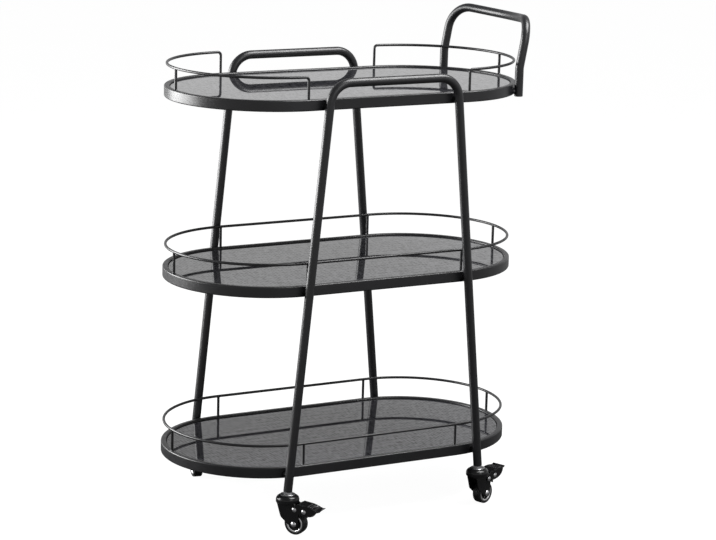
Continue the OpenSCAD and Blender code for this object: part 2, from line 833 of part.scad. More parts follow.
caster_axle(2);  // rear_left_axle
caster_hub(2);  // rear_left_hub
caster_trim(2);  // rear_left_trim
caster_tyre(2);  // rear_left_tyre
caster_pedal(2);  // rear_left_pedal
caster_pivot(2);  // rear_left_pivot
caster_rivet(2);  // rear_left_rivet
caster_stem(3);  // rear_right_stem
caster_fork(3);  // rear_right_fork
caster_axle(3);  // rear_right_axle
caster_hub(3);  // rear_right_hub
caster_trim(3);  // rear_right_trim
caster_tyre(3);  // rear_right_tyre
caster_pedal(3);  // rear_right_pedal
caster_pivot(3);  // rear_right_pivot
caster_rivet(3);  // rear_right_rivet
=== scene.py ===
"""Serving cart: finished surfaces, fittings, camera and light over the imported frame.

X runs along the cart with the handle at +X, Y across it with the front at -Y, and
Z up from the floor. Lengths are in metres, except where a caster's own drawing is
in millimetres and says so.
"""

import math

import bmesh
import bpy
from mathutils import Matrix, Vector


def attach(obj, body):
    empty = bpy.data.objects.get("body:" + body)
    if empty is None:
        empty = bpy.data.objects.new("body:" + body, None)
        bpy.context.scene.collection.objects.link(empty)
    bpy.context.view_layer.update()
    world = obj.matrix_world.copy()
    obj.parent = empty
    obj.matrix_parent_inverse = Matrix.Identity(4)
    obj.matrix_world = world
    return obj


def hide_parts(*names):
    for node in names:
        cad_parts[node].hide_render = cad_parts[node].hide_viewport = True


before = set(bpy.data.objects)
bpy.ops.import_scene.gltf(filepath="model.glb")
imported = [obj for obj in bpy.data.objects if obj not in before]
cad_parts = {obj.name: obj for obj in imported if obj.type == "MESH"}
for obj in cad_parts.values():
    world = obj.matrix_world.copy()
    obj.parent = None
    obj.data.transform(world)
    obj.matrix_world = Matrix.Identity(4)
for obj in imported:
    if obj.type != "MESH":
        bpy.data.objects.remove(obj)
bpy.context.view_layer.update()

MM = 0.001
CART = "cart"

# Trays
STRAIGHT_HALF = 0.159
END_RADIUS = 0.181
RIM_WIDTH = 0.010
RIM_HEIGHT = 0.020
RIM_CORNER = 0.0022
RIM_RADIUS = END_RADIUS - RIM_WIDTH / 2
INNER_RADIUS = END_RADIUS - RIM_WIDTH
RIM_TOPS = {"bottom": 0.115, "middle": 0.445, "top": 0.775}
GLASS_DROP = 0.003
GLASS_THICK = 0.004
GLASS_GAP = 0.001
GLASS_POLISH = 0.0006
TAB_WIDTH = 0.022
TAB_REACH = 0.014
TAB_THICK = 0.0015
TAB_X = 0.095
TAB_ANGLE = math.radians(30)
PAD_DIAMETER = 0.010
PAD_THICK = 0.001

# Guard rails
WIRE = 0.005
RAIL_RISE = 0.039
POST_X = 0.158
RAIL_BEND = 0.006
RAIL_END_X = 0.163
WELD_RADIUS = 0.0037
WELD_RISE = 0.0018

# Side frames and handle
TUBE = 0.016
TUBE_WALL = 0.0012
# Taken off the tube's radius, so that its smooth skin stays inside the solid's box
TUBE_EASE = 0.00004
FRAME_Y = 0.195
FOOT_X = 0.198
LEG_END = 0.076
SHOULDER_X = 0.1295
ARCH_Z = 0.804
ARCH_BEND = 0.040
LEG_SLOPE = (FOOT_X - SHOULDER_X) / (RIM_TOPS["top"] - LEG_END)
SCREW_DROP = 0.012
HEAD_DIAMETER = 0.009
HEAD_RISE = 0.0025
SOCKET_WIDTH = 0.0035
HANDLE_Y = 0.135
HANDLE_GAP = 0.002
HANDLE_RING = END_RADIUS + HANDLE_GAP + TUBE / 2
HANDLE_ANGLE = math.asin(HANDLE_Y / HANDLE_RING)
HANDLE_X = STRAIGHT_HALF + HANDLE_RING * math.cos(HANDLE_ANGLE)
HANDLE_FOOT = RIM_TOPS["top"] - RIM_HEIGHT
KINK_Z = RIM_TOPS["top"] + 0.031
KINK_BEND = 0.030
HANDLE_LEAN = math.radians(10.5)
HANDLE_RISE = 0.118
GRIP_BEND = 0.045
GRIP_BOW = math.radians(21)
PLUG_FLANGE = 0.002

# Glow of the floor where the camera looks straight at it
FLOOR_GLOW = 0.96

# Casters: which corner, which way each wheel trails, and whether its brake is down
CORNERS = {
    "front_left": (-1, -1, math.radians(-54), True),
    "front_right": (1, -1, math.radians(21), False),
    "rear_left": (-1, 1, math.radians(-102), False),
    "rear_right": (1, 1, math.radians(118), False),
}
PEDAL_TRAVEL = math.radians(14)


# Materials

def finish_nodes(name):
    """An empty material with its Principled shader, ready for more nodes."""
    material = bpy.data.materials.new(name)
    material.use_nodes = True
    nodes = material.node_tree.nodes
    nodes.clear()
    out = nodes.new("ShaderNodeOutputMaterial")
    shader = nodes.new("ShaderNodeBsdfPrincipled")
    material.node_tree.links.new(shader.outputs["BSDF"], out.inputs["Surface"])
    return material, nodes, material.node_tree.links, shader


def noise(nodes, links, coords, scale, detail=2.0, roughness=0.5):
    """Noise over coordinates, from 0 to 1."""
    made = nodes.new("ShaderNodeTexNoise")
    made.inputs["Scale"].default_value = scale
    made.inputs["Detail"].default_value = detail
    made.inputs["Roughness"].default_value = roughness
    links.new(coords, made.inputs["Vector"])
    return made.outputs["Fac"]


def remap(nodes, links, value, low, high, to_low, to_high):
    """Value moved from one range to another, kept inside it."""
    made = nodes.new("ShaderNodeMapRange")
    made.inputs["From Min"].default_value = low
    made.inputs["From Max"].default_value = high
    made.inputs["To Min"].default_value = to_low
    made.inputs["To Max"].default_value = to_high
    links.new(value, made.inputs["Value"])
    return made.outputs["Result"]


def blend_colours(nodes, links, share, first, second):
    """Mix of two colours, each a tuple or a socket, by a share."""
    made = nodes.new("ShaderNodeMix")
    made.data_type = "RGBA"
    links.new(share, made.inputs["Factor"])
    for value, socket in ((first, made.inputs[6]), (second, made.inputs[7])):
        if isinstance(value, tuple):
            socket.default_value = (*value, 1.0)
        else:
            links.new(value, socket)
    return made.outputs[2]


def multiply(nodes, links, first, second):
    """Product of two values, each a float or a socket."""
    made = nodes.new("ShaderNodeMath")
    made.operation = "MULTIPLY"
    for k, value in enumerate((first, second)):
        if isinstance(value, float):
            made.inputs[k].default_value = value
        else:
            links.new(value, made.inputs[k])
    return made.outputs[0]


def add(nodes, links, first, second):
    """Sum of two values, each a float or a socket."""
    made = nodes.new("ShaderNodeMath")
    made.operation = "ADD"
    for k, value in enumerate((first, second)):
        if isinstance(value, float):
            made.inputs[k].default_value = value
        else:
            links.new(value, made.inputs[k])
    return made.outputs[0]


def edge_share(nodes, links, radius, low, high):
    """1 on sharp edges and 0 on flat faces, from how far a bevelled normal turns."""
    bevel = nodes.new("ShaderNodeBevel")
    bevel.samples = 4
    bevel.inputs["Radius"].default_value = radius
    plain = nodes.new("ShaderNodeNewGeometry")
    dot = nodes.new("ShaderNodeVectorMath")
    dot.operation = "DOT_PRODUCT"
    links.new(bevel.outputs["Normal"], dot.inputs[0])
    links.new(plain.outputs["Normal"], dot.inputs[1])
    return remap(nodes, links, dot.outputs["Value"], high, low, 0.0, 1.0)


def add_bump(nodes, links, shader, height, strength, distance):
    """Fine relief of a height on a shader."""
    made = nodes.new("ShaderNodeBump")
    made.inputs["Strength"].default_value = strength
    made.inputs["Distance"].default_value = distance
    links.new(height, made.inputs["Height"])
    links.new(made.outputs["Normal"], shader.inputs["Normal"])


def coated_metal(name, dark, light, rough, peel, edge_wear_and_highlight, edge_wear_and_highlight_share, specular=0.5, coat=0.0):
    """Paint over metal: mottled colour, orange peel, dust in the mottle, and an edge colour on sharp edges
    that is worn paint on the frame and fork but a light painted highlight on the brake pedal.
    """
    material, nodes, links, shader = finish_nodes(name)
    coords = nodes.new("ShaderNodeTexCoord").outputs["Object"]
    cloud = noise(nodes, links, coords, 9.0, 4.0, 0.6)
    grain = noise(nodes, links, coords, 1500.0, 2.0, 0.6)
    smear = noise(nodes, links, coords, 60.0, 5.0, 0.65)
    colour = blend_colours(nodes, links, remap(nodes, links, cloud, 0.35, 0.65, 0.0, 1.0), dark, light)
    edges = edge_share(nodes, links, 0.0006, 0.80, 0.97)
    edge_wear_and_highlight_mask = multiply(nodes, links, edges, remap(nodes, links, smear, 0.40, 0.62, 0.15, 1.0))
    shader.inputs["Specular IOR Level"].default_value = specular
    shader.inputs["Coat Weight"].default_value = coat
    shader.inputs["Coat Roughness"].default_value = 0.12
    # Edges take the edge colour by the edge share: worn paint for a dark edge colour, a painted highlight for
    # a light one.
    links.new(
        blend_colours(nodes, links, multiply(nodes, links, edge_wear_and_highlight_mask, edge_wear_and_highlight_share), colour, edge_wear_and_highlight),
        shader.inputs["Base Color"],
    )
    low, high = rough
    links.new(remap(nodes, links, smear, 0.3, 0.7, low, high), shader.inputs["Roughness"])
    ripple = add(nodes, links, grain, multiply(nodes, links, smear, 0.4))
    add_bump(nodes, links, shader, ripple, peel, 0.00006)
    return material


def plated_metal(name, colour, tint, rough, grain_scale, dent):
    """Bright plating with faint stains, hairline scratches and a soft polish."""
    material, nodes, links, shader = finish_nodes(name)
    coords = nodes.new("ShaderNodeTexCoord").outputs["Object"]
    stain = noise(nodes, links, coords, 140.0, 4.0, 0.6)
    grain = noise(nodes, links, coords, grain_scale, 2.0, 0.7)
    shader.inputs["Metallic"].default_value = 1.0
    links.new(
        blend_colours(nodes, links, remap(nodes, links, stain, 0.35, 0.7, 0.0, 1.0), colour, tint),
        shader.inputs["Base Color"],
    )
    low, high = rough
    links.new(remap(nodes, links, grain, 0.3, 0.7, low, high), shader.inputs["Roughness"])
    add_bump(nodes, links, shader, grain, dent, 0.00004)
    return material


def moulded(name, dark, light, rough, scale, dent, specular=0.5):
    """Moulded plastic or rubber: fine grain, faint mottle, a little dust on edges."""
    material, nodes, links, shader = finish_nodes(name)
    coords = nodes.new("ShaderNodeTexCoord").outputs["Object"]
    cloud = noise(nodes, links, coords, 70.0, 4.0, 0.6)
    grain = noise(nodes, links, coords, scale, 3.0, 0.6)
    edges = edge_share(nodes, links, 0.0005, 0.80, 0.97)
    colour = blend_colours(nodes, links, remap(nodes, links, cloud, 0.35, 0.65, 0.0, 1.0), dark, light)
    dusty = tuple(min(1.0, 2.2 * c + 0.01) for c in light)
    shader.inputs["Specular IOR Level"].default_value = specular
    links.new(
        blend_colours(nodes, links, multiply(nodes, links, edges, 0.45), colour, dusty),
        shader.inputs["Base Color"],
    )
    low, high = rough
    links.new(remap(nodes, links, cloud, 0.3, 0.7, low, high), shader.inputs["Roughness"])
    add_bump(nodes, links, shader, grain, dent, 0.00008)
    return material


def black_glass(name):
    """Polished black glass with a very faint woven pattern under its surface."""
    material, nodes, links, shader = finish_nodes(name)
    coords = nodes.new("ShaderNodeTexCoord").outputs["Object"]
    threads = []
    for direction, scale in (("X", 52.0), ("Y", 17.0)):
        wave = nodes.new("ShaderNodeTexWave")
        wave.wave_type = "BANDS"
        wave.bands_direction = direction
        wave.inputs["Scale"].default_value = scale
        wave.inputs["Distortion"].default_value = 3.2
        wave.inputs["Detail"].default_value = 3.0
        wave.inputs["Detail Scale"].default_value = 1.4
        links.new(coords, wave.inputs["Vector"])
        threads.append(wave.outputs["Fac"])
    stretch = nodes.new("ShaderNodeMapping")
    stretch.inputs["Scale"].default_value = (230.0, 75.0, 1.0)
    links.new(coords, stretch.inputs["Vector"])
    slub = noise(nodes, links, stretch.outputs["Vector"], 1.0, 2.0, 0.6)
    warp, weft = (remap(nodes, links, fac, 0.0, 1.0, -low, low) for fac, low in zip(threads, (0.16, 0.05)))
    weave = add(nodes, links, slub, add(nodes, links, warp, weft))
    share = remap(nodes, links, weave, 0.28, 0.72, 0.0, 1.0)
    smear = noise(nodes, links, coords, 22.0, 5.0, 0.6)
    links.new(blend_colours(nodes, links, share, (0.001, 0.001, 0.002), (0.042, 0.042, 0.047)),
              shader.inputs["Base Color"])
    links.new(remap(nodes, links, share, 0.0, 1.0, 0.15, 0.95), shader.inputs["Specular IOR Level"])
    links.new(remap(nodes, links, smear, 0.35, 0.70, 0.015, 0.045), shader.inputs["Roughness"])
    shader.inputs["IOR"].default_value = 1.52
    add_bump(nodes, links, shader, weave, 0.01, 0.00001)
    return material


PAINT = coated_metal(
    "satin_black_coat", (0.0050, 0.0050, 0.0060), (0.0078, 0.0078, 0.0090),
    (0.32, 0.40), 0.03, (0.045, 0.045, 0.049), 0.35, specular=0.42,
)
BOSS_FINISH = plated_metal(
    "black_nickel", (0.11, 0.11, 0.115), (0.075, 0.075, 0.08), (0.16, 0.26), 900.0, 0.05,
)
FORK_PAINT = coated_metal(
    "fork_gloss_black", (0.0032, 0.0032, 0.0036), (0.0058, 0.0058, 0.0062),
    (0.20, 0.30), 0.06, (0.050, 0.050, 0.053), 0.40, specular=0.28,
)
# The pedal's light grey edge colour, laid on almost all of its edge share, is a painted highlight along its
# edges, not wear.
PEDAL_PAINT_WITH_PAINTED_HIGHLIGHT = coated_metal(
    "pedal_gloss_black_painted_edge_highlight", (0.0032, 0.0032, 0.0036), (0.0058, 0.0058, 0.0062),
    (0.18, 0.28), 0.06, (0.34, 0.34, 0.35), 0.90, specular=0.30,
)
GLASS = black_glass("black_glass")
CHROME = plated_metal("caster_chrome", (0.50, 0.50, 0.51), (0.42, 0.42, 0.43), (0.24, 0.34), 900.0, 0.04)
RING_CHROME = plated_metal("ring_chrome", (0.80, 0.80, 0.81), (0.72, 0.72, 0.73), (0.28, 0.38), 1100.0, 0.03)
SCREW_STEEL = plated_metal("screw_steel", (0.72, 0.73, 0.74), (0.58, 0.59, 0.60), (0.14, 0.28), 1200.0, 0.08)
ZINC = plated_metal("zinc_steel", (0.52, 0.53, 0.55), (0.44, 0.45, 0.46), (0.30, 0.45), 700.0, 0.15)
TYRE_RUBBER = moulded(
    "tyre_rubber", (0.0040, 0.0040, 0.0043), (0.0075, 0.0075, 0.0078),
    (0.40, 0.55), 900.0, 0.20, specular=0.30,
)
HUB_PLASTIC = moulded(
    "hub_plastic", (0.0042, 0.0042, 0.0046), (0.0080, 0.0080, 0.0084),
    (0.26, 0.38), 1400.0, 0.12, specular=0.30,
)
PLUG_PLASTIC = moulded(
    "plug_plastic", (0.0120, 0.0120, 0.0125), (0.0200, 0.0200, 0.0205), (0.45, 0.58), 1600.0, 0.20,
)
PAD_RUBBER = moulded("pad_rubber", (0.22, 0.23, 0.24), (0.30, 0.31, 0.32), (0.50, 0.65), 1200.0, 0.15)


# Mesh drawing

class Shell:
    """Points and faces gathered from several closed forms."""

    def __init__(self):
        self.points = []
        self.faces = []

    def take(self, points, faces, place=None):
        start = len(self.points)
        self.points += [place @ p for p in points] if place else points
        self.faces += [[start + k for k in face] for face in faces]


def rings_joined(count, sides, closed):
    """Quads between rings of points that follow one another."""
    spans = count if closed else count - 1
    return [
        [r * sides + k, r * sides + (k + 1) % sides,
         (r + 1) % count * sides + (k + 1) % sides, (r + 1) % count * sides + k]
        for r in range(spans) for k in range(sides)
    ]


def turned(profile, sides=64, closed=False):
    """Form turned about Z from (radius, height) points; a radius of 0 closes to a pole."""
    points, faces, rows = [], [], []
    for radius, height in profile:
        rows.append(len(points))
        if radius < 1e-9:
            points.append(Vector((0, 0, height)))
            continue
        for k in range(sides):
            a = 2 * math.pi * k / sides
            points.append(Vector((radius * math.cos(a), radius * math.sin(a), height)))
    count = len(profile)
    for r in range(count if closed else count - 1):
        a, b = rows[r], rows[(r + 1) % count]
        pole_a = profile[r][0] < 1e-9
        pole_b = profile[(r + 1) % count][0] < 1e-9
        for k in range(sides):
            n = (k + 1) % sides
            if pole_a:
                faces.append([a, b + n, b + k])
            elif pole_b:
                faces.append([a + k, a + n, b])
            else:
                faces.append([a + k, a + n, b + n, b + k])
    return points, faces


def extruded(outline, low, high):
    """Slab with its (x, z) outline drawn in the XZ plane, from y = low to y = high."""
    sides = len(outline)
    points = [Vector((x, low, z)) for x, z in outline] + [Vector((x, high, z)) for x, z in outline]
    faces = [list(range(sides))[::-1], [sides + k for k in range(sides)]]
    faces += [[k, (k + 1) % sides, sides + (k + 1) % sides, sides + k] for k in range(sides)]
    return points, faces


def rounded(corners, radius, steps=5):
    """Closed (x, z) outline with each corner turned into an arc that keeps its sides."""
    made, count = [], len(corners)
    for k in range(count):
        here = Vector(corners[k])
        before = Vector(corners[k - 1]) - here
        after = Vector(corners[(k + 1) % count]) - here
        half = before.angle(after) / 2
        size = min(radius, 0.45 * min(before.length, after.length) * math.tan(half))
        if size < 1e-9 or half > math.radians(88):
            made.append(here)
            continue
        first = here + before.normalized() * size / math.tan(half)
        last = here + after.normalized() * size / math.tan(half)
        centre = here + (before.normalized() + after.normalized()).normalized() * size / math.sin(half)
        for j in range(steps + 1):
            spot = first.lerp(last, j / steps) - centre
            made.append(centre + spot.normalized() * size)
    return made


def bent_path(corners, radii, step=math.radians(5)):
    """Points and directions along straight runs joined by bends of the given radii."""
    points, ways = [corners[0]], [(corners[1] - corners[0]).normalized()]
    for k in range(1, len(corners) - 1):
        into = (corners[k] - corners[k - 1]).normalized()
        out = (corners[k + 1] - corners[k]).normalized()
        turn = into.angle(out)
        set_back = radii[k - 1] * math.tan(turn / 2)
        start = corners[k] - into * set_back
        axis = into.cross(out).normalized()
        centre = start + axis.cross(into) * radii[k - 1]
        count = max(3, math.ceil(turn / step))
        for j in range(count + 1):
            spin = Matrix.Rotation(turn * j / count, 3, axis)
            points.append(centre + spin @ (start - centre))
            ways.append(spin @ into)
    points.append(corners[-1])
    ways.append((corners[-1] - corners[-2]).normalized())
    return points, ways


def swept_round(points, ways, radius, sides=40):
    """Rings of a round section carried along a path without twisting."""
    side = ways[0].orthogonal().normalized()
    made = []
    for k, (point, way) in enumerate(zip(points, ways)):
        if k:
            side = (side - way * side.dot(way)).normalized()
        other = way.cross(side)
        made += [
            point + radius * (math.cos(a) * side + math.sin(a) * other)
            for a in (2 * math.pi * j / sides for j in range(sides))
        ]
    return made


def hollow_bar(points, ways, sides=40):
    """Bent round tube along a path, with its bore and its two ring ends."""
    outer = swept_round(points, ways, TUBE / 2 - TUBE_EASE, sides)
    inner = swept_round(points, ways, TUBE / 2 - TUBE_WALL, sides)
    count, shift = len(points), len(outer)
    faces = [f[::-1] for f in rings_joined(count, sides, False)]
    faces += [[shift + k for k in f[::-1]] for f in faces]
    for ring, turn in ((0, 1), (count - 1, -1)):
        for k in range(sides):
            n = (k + 1) % sides
            face = [ring * sides + k, ring * sides + n, shift + ring * sides + n, shift + ring * sides + k]
            faces.append(face[::turn])
    return outer + inner, faces


def stadium(radius, z, steps=64):
    """Points and outward directions round a tray's outline at a radius from its end centres."""
    points, outs = [], []
    for centre, start in ((STRAIGHT_HALF, -math.pi / 2), (-STRAIGHT_HALF, math.pi / 2)):
        for k in range(steps + 1):
            a = start + math.pi * k / steps
            out = Vector((math.cos(a), math.sin(a), 0))
            points.append(Vector((centre, 0, z)) + out * radius)
            outs.append(out)
    return points, outs


def stadium_swept(section, radius, z):
    """Closed section of (outward, up) points carried round a tray's outline."""
    points, outs = stadium(radius, z)
    made = [
        point + out * across + Vector((0, 0, up))
        for point, out in zip(points, outs) for across, up in section
    ]
    return made, rings_joined(len(points), len(section), True)


def tab_places(z):
    """Matrix of each support tab, its X pointing out of the tray, Z up."""
    made = []
    for sx in (-1, 1):
        for sy in (-1, 1):
            spot = Matrix.Translation((sx * TAB_X, sy * INNER_RADIUS, z))
            made.append(spot @ Matrix.Rotation(sy * math.pi / 2, 4, "Z"))
            angle = sy * TAB_ANGLE if sx > 0 else math.pi - sy * TAB_ANGLE
            out = Vector((math.cos(angle), math.sin(angle), 0)) * INNER_RADIUS
            spot = Matrix.Translation(Vector((sx * STRAIGHT_HALF, 0, z)) + out)
            made.append(spot @ Matrix.Rotation(angle, 4, "Z"))
    return made


def make_piece(name, points, faces, material, crease=38, clean=True):
    """Mesh object at the origin from points and faces, smooth but for its creases."""
    mesh = bpy.data.meshes.new(name)
    mesh.from_pydata([tuple(p) for p in points], [], faces)
    if clean:
        work = bmesh.new()
        work.from_mesh(mesh)
        bmesh.ops.remove_doubles(work, verts=work.verts, dist=1e-7)
        bmesh.ops.recalc_face_normals(work, faces=work.faces)
        work.to_mesh(mesh)
        work.free()
    mesh.materials.append(material)
    mesh.shade_smooth()
    mesh.set_sharp_from_angle(angle=math.radians(crease))
    piece = bpy.data.objects.new(name, mesh)
    bpy.context.scene.collection.objects.link(piece)
    return piece


def soften_edges(piece, width, segments=2, limit=35):
    """Rounds a piece's hard edges with a live bevel."""
    bevel = piece.modifiers.new("soft_edges", "BEVEL")
    bevel.width = width
    bevel.segments = segments
    bevel.limit_method = "ANGLE"
    bevel.angle_limit = math.radians(limit)
    bevel.harden_normals = True


def flatten_faces(piece):
    """Keeps flat faces flat in shading where round corners meet them."""
    weighted = piece.modifiers.new("flat_faces", "WEIGHTED_NORMAL")
    weighted.keep_sharp = True
    weighted.weight = 60


def fit_piece(piece, body, slot, *nodes):
    """Hangs a piece on what carries it and hides the CAD nodes that it stands for; the finish slot is not
    used.
    """
    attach(piece, body)
    if nodes:
        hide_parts(*nodes)


# Repeated fittings

def repeat_tree(name, inputs, build):
    """Node tree that sets one form, drawn by build, on every point of its mesh."""
    tree = bpy.data.node_groups.new(name, "GeometryNodeTree")
    tree.interface.new_socket("Points", in_out="INPUT", socket_type="NodeSocketGeometry")
    for label, value in inputs.items():
        socket = tree.interface.new_socket(label, in_out="INPUT", socket_type="NodeSocketFloat")
        socket.default_value = value
    material = tree.interface.new_socket("Finish", in_out="INPUT", socket_type="NodeSocketMaterial")
    tree.interface.new_socket("Fittings", in_out="OUTPUT", socket_type="NodeSocketGeometry")
    nodes, links = tree.nodes, tree.links
    start = nodes.new("NodeGroupInput")
    form = build(nodes, links, start)
    turn = nodes.new("GeometryNodeInputNamedAttribute")
    turn.data_type = "FLOAT_VECTOR"
    turn.inputs["Name"].default_value = "turn"
    setting = nodes.new("GeometryNodeInstanceOnPoints")
    real = nodes.new("GeometryNodeRealizeInstances")
    coat = nodes.new("GeometryNodeSetMaterial")
    out = nodes.new("NodeGroupOutput")
    links.new(start.outputs["Points"], setting.inputs["Points"])
    links.new(form, setting.inputs["Instance"])
    links.new(turn.outputs["Attribute"], setting.inputs["Rotation"])
    links.new(setting.outputs["Instances"], real.inputs["Geometry"])
    links.new(real.outputs["Geometry"], coat.inputs["Geometry"])
    links.new(start.outputs["Finish"], coat.inputs["Material"])
    links.new(coat.outputs["Geometry"], out.inputs["Fittings"])
    return tree, material.identifier


def bar_with_swell(nodes, links, start, rise, radius, swell, swell_rise, both_ends, sides):
    """Upright round bar whose end or ends swell, as a weld bead or a chamfer does."""
    line = nodes.new("GeometryNodeCurvePrimitiveLine")
    up = nodes.new("ShaderNodeCombineXYZ")
    links.new(start.outputs[rise], up.inputs["Z"])
    links.new(up.outputs[0], line.inputs["End"])
    finer = nodes.new("GeometryNodeResampleCurve")
    finer.inputs["Count"].default_value = 49
    links.new(line.outputs["Curve"], finer.inputs["Curve"])
    place = nodes.new("GeometryNodeSplineParameter")

    def math_node(operation, first, second):
        made = nodes.new("ShaderNodeMath")
        made.operation = operation
        for k, value in enumerate((first, second)):
            if isinstance(value, (int, float)):
                made.inputs[k].default_value = value
            else:
                links.new(value, made.inputs[k])
        return made.outputs[0]

    along = place.outputs["Length"]
    if both_ends:
        along = math_node("MINIMUM", along, math_node("SUBTRACT", start.outputs[rise], along))
    past = math_node("DIVIDE", along, start.outputs[swell_rise])
    share = math_node("MAXIMUM", math_node("SUBTRACT", 1.0, past), 0.0)
    curve = math_node("POWER", share, 2.0)
    extra = math_node("SUBTRACT", start.outputs[swell], start.outputs[radius])
    width = math_node("ADD", start.outputs[radius], math_node("MULTIPLY", curve, extra))
    round_bar = nodes.new("GeometryNodeCurvePrimitiveCircle")
    round_bar.mode = "RADIUS"
    round_bar.inputs["Resolution"].default_value = sides
    round_bar.inputs["Radius"].default_value = 1.0
    swept = nodes.new("GeometryNodeCurveToMesh")
    swept.inputs["Fill Caps"].default_value = True
    links.new(width, swept.inputs["Scale"])
    links.new(finer.outputs["Curve"], swept.inputs["Curve"])
    links.new(round_bar.outputs["Curve"], swept.inputs["Profile Curve"])
    return swept.outputs["Mesh"]


def placed_points(places):
    """Mesh of loose points, each with the turn of its place."""
    mesh = bpy.data.meshes.new("places")
    mesh.from_pydata([tuple(p.translation) for p in places], [], [])
    turns = mesh.attributes.new("turn", "FLOAT_VECTOR", "POINT")
    for k, place in enumerate(places):
        turns.data[k].vector = place.to_euler("XYZ")
    return mesh


def repeated(name, tree_and_finish, places, material, crease=38):
    """Plain mesh piece made by a node tree over the places."""
    tree, finish = tree_and_finish
    holder = bpy.data.objects.new(name + "_holder", placed_points(places))
    bpy.context.scene.collection.objects.link(holder)
    setting = holder.modifiers.new("fittings", "NODES")
    setting.node_group = tree
    setting[finish] = material
    ready = holder.evaluated_get(bpy.context.evaluated_depsgraph_get())
    mesh = bpy.data.meshes.new_from_object(ready)
    mesh.name = name
    bpy.data.objects.remove(holder)
    mesh.shade_smooth()
    mesh.set_sharp_from_angle(angle=math.radians(crease))
    piece = bpy.data.objects.new(name, mesh)
    bpy.context.scene.collection.objects.link(piece)
    return piece


def turned_template(profile, sides=24):
    """Hidden pattern for a turned fitting that a node tree sets in many places."""
    points, faces = turned(profile, sides)
    pattern = make_piece("pattern", points, faces, SCREW_STEEL)
    bpy.context.scene.collection.objects.unlink(pattern)
    return pattern


def pattern_tree(name, pattern):
    """Node tree that sets a drawn pattern on every point."""
    def build(nodes, links, start):
        info = nodes.new("GeometryNodeObjectInfo")
        info.inputs["Object"].default_value = pattern
        size = nodes.new("ShaderNodeCombineXYZ")
        for axis in "XYZ":
            links.new(start.outputs["Size"], size.inputs[axis])
        sized = nodes.new("GeometryNodeTransform")
        links.new(info.outputs["Geometry"], sized.inputs["Geometry"])
        links.new(size.outputs[0], sized.inputs["Scale"])
        return sized.outputs["Geometry"]
    return repeat_tree(name, {"Size": 1.0}, build)


# Trays

def rim_section():
    """Rounded rectangle of the rim tube, as (outward, up) points from its top middle."""
    wide, high = RIM_WIDTH / 2, RIM_HEIGHT / 2
    corners = [(-wide, -high), (wide, -high), (wide, high), (-wide, high)]
    return [(p.x, p.y - high) for p in rounded(corners, RIM_CORNER, 5)]


def tray_rim(level):
    """Rim tube of one tray with the tabs that carry its glass."""
    top = RIM_TOPS[level]
    shell = Shell()
    shell.take(*stadium_swept(rim_section(), RIM_RADIUS, top))
    under = top - GLASS_DROP - GLASS_THICK - PAD_THICK
    half = TAB_WIDTH / 2
    outline = rounded([(0.0008, -half), (0.0008, half), (-TAB_REACH, half), (-TAB_REACH, -half)], 0.003, 6)
    count = len(outline)
    for place in tab_places(under):
        points = [Vector((p.x, p.y, -TAB_THICK)) for p in outline] + [Vector((p.x, p.y, 0)) for p in outline]
        faces = [list(range(count))[::-1], [count + k for k in range(count)]]
        faces += [[k, (k + 1) % count, count + (k + 1) % count, count + k] for k in range(count)]
        shell.take(points, faces, place)
    return make_piece(level + "_tray_rim", shell.points, shell.faces, PAINT)


def shelf_glass(level):
    """Glass plate with polished edges."""
    top = RIM_TOPS[level] - GLASS_DROP
    radius = INNER_RADIUS - GLASS_GAP
    loops = [(radius - GLASS_POLISH, top), (radius - 0.25 * GLASS_POLISH, top - 0.25 * GLASS_POLISH),
             (radius, top - GLASS_POLISH), (radius, top - GLASS_THICK + GLASS_POLISH),
             (radius - 0.25 * GLASS_POLISH, top - GLASS_THICK + 0.25 * GLASS_POLISH),
             (radius - GLASS_POLISH, top - GLASS_THICK)]
    points = []
    for size, z in loops:
        points += stadium(size, z)[0]
    sides = len(points) // len(loops)
    faces = rings_joined(len(loops), sides, False)
    faces += [list(range(sides)), [len(points) - 1 - k for k in range(sides)]]
    return make_piece(level + "_shelf_glass", points, faces, GLASS, crease=12)


PAD_TREE = repeat_tree(
    "shelf_pads", {"Pad Rise": PAD_THICK, "Pad Radius": PAD_DIAMETER / 2,
                   "Pad Edge": PAD_DIAMETER / 2 - 0.0005, "Edge Rise": 0.0003},
    lambda nodes, links, start: bar_with_swell(
        nodes, links, start, "Pad Rise", "Pad Radius", "Pad Edge", "Edge Rise", True, 28),
)

for level, top in RIM_TOPS.items():
    rim = tray_rim(level)
    flatten_faces(rim)
    fit_piece(rim, CART, "frame_paint", level + "_rim")
    fit_piece(shelf_glass(level), CART, "shelf_glass", level + "_glass")

pad_places = []
for top in RIM_TOPS.values():
    for place in tab_places(top - GLASS_DROP - GLASS_THICK - PAD_THICK):
        pad_places.append(place @ Matrix.Translation((PAD_DIAMETER / 2 + 0.001 - TAB_REACH, 0, 0)))
fit_piece(repeated("shelf_pads", PAD_TREE, pad_places, PAD_RUBBER), CART, "pad", "glass_pads")


# Guard rails

POST_TREE = repeat_tree(
    "rail_posts", {"Post Rise": RAIL_RISE, "Post Radius": WIRE / 2, "Weld Radius": WELD_RADIUS,
                   "Weld Rise": WELD_RISE},
    lambda nodes, links, start: bar_with_swell(
        nodes, links, start, "Post Rise", "Post Radius", "Weld Radius", "Weld Rise", False, 20),
)


def side_y(x, radius):
    """Half width of a tray's outline at a place along it."""
    past = max(0.0, abs(x) - STRAIGHT_HALF)
    return math.sqrt(radius * radius - past * past)


def wire_loop(z, sides=20):
    """Closed ring of rail wire round a tray."""
    section = [
        (WIRE / 2 * math.cos(2 * math.pi * k / sides), WIRE / 2 * math.sin(2 * math.pi * k / sides))
        for k in range(sides)
    ]
    return stadium_swept(section, RIM_RADIUS, z)


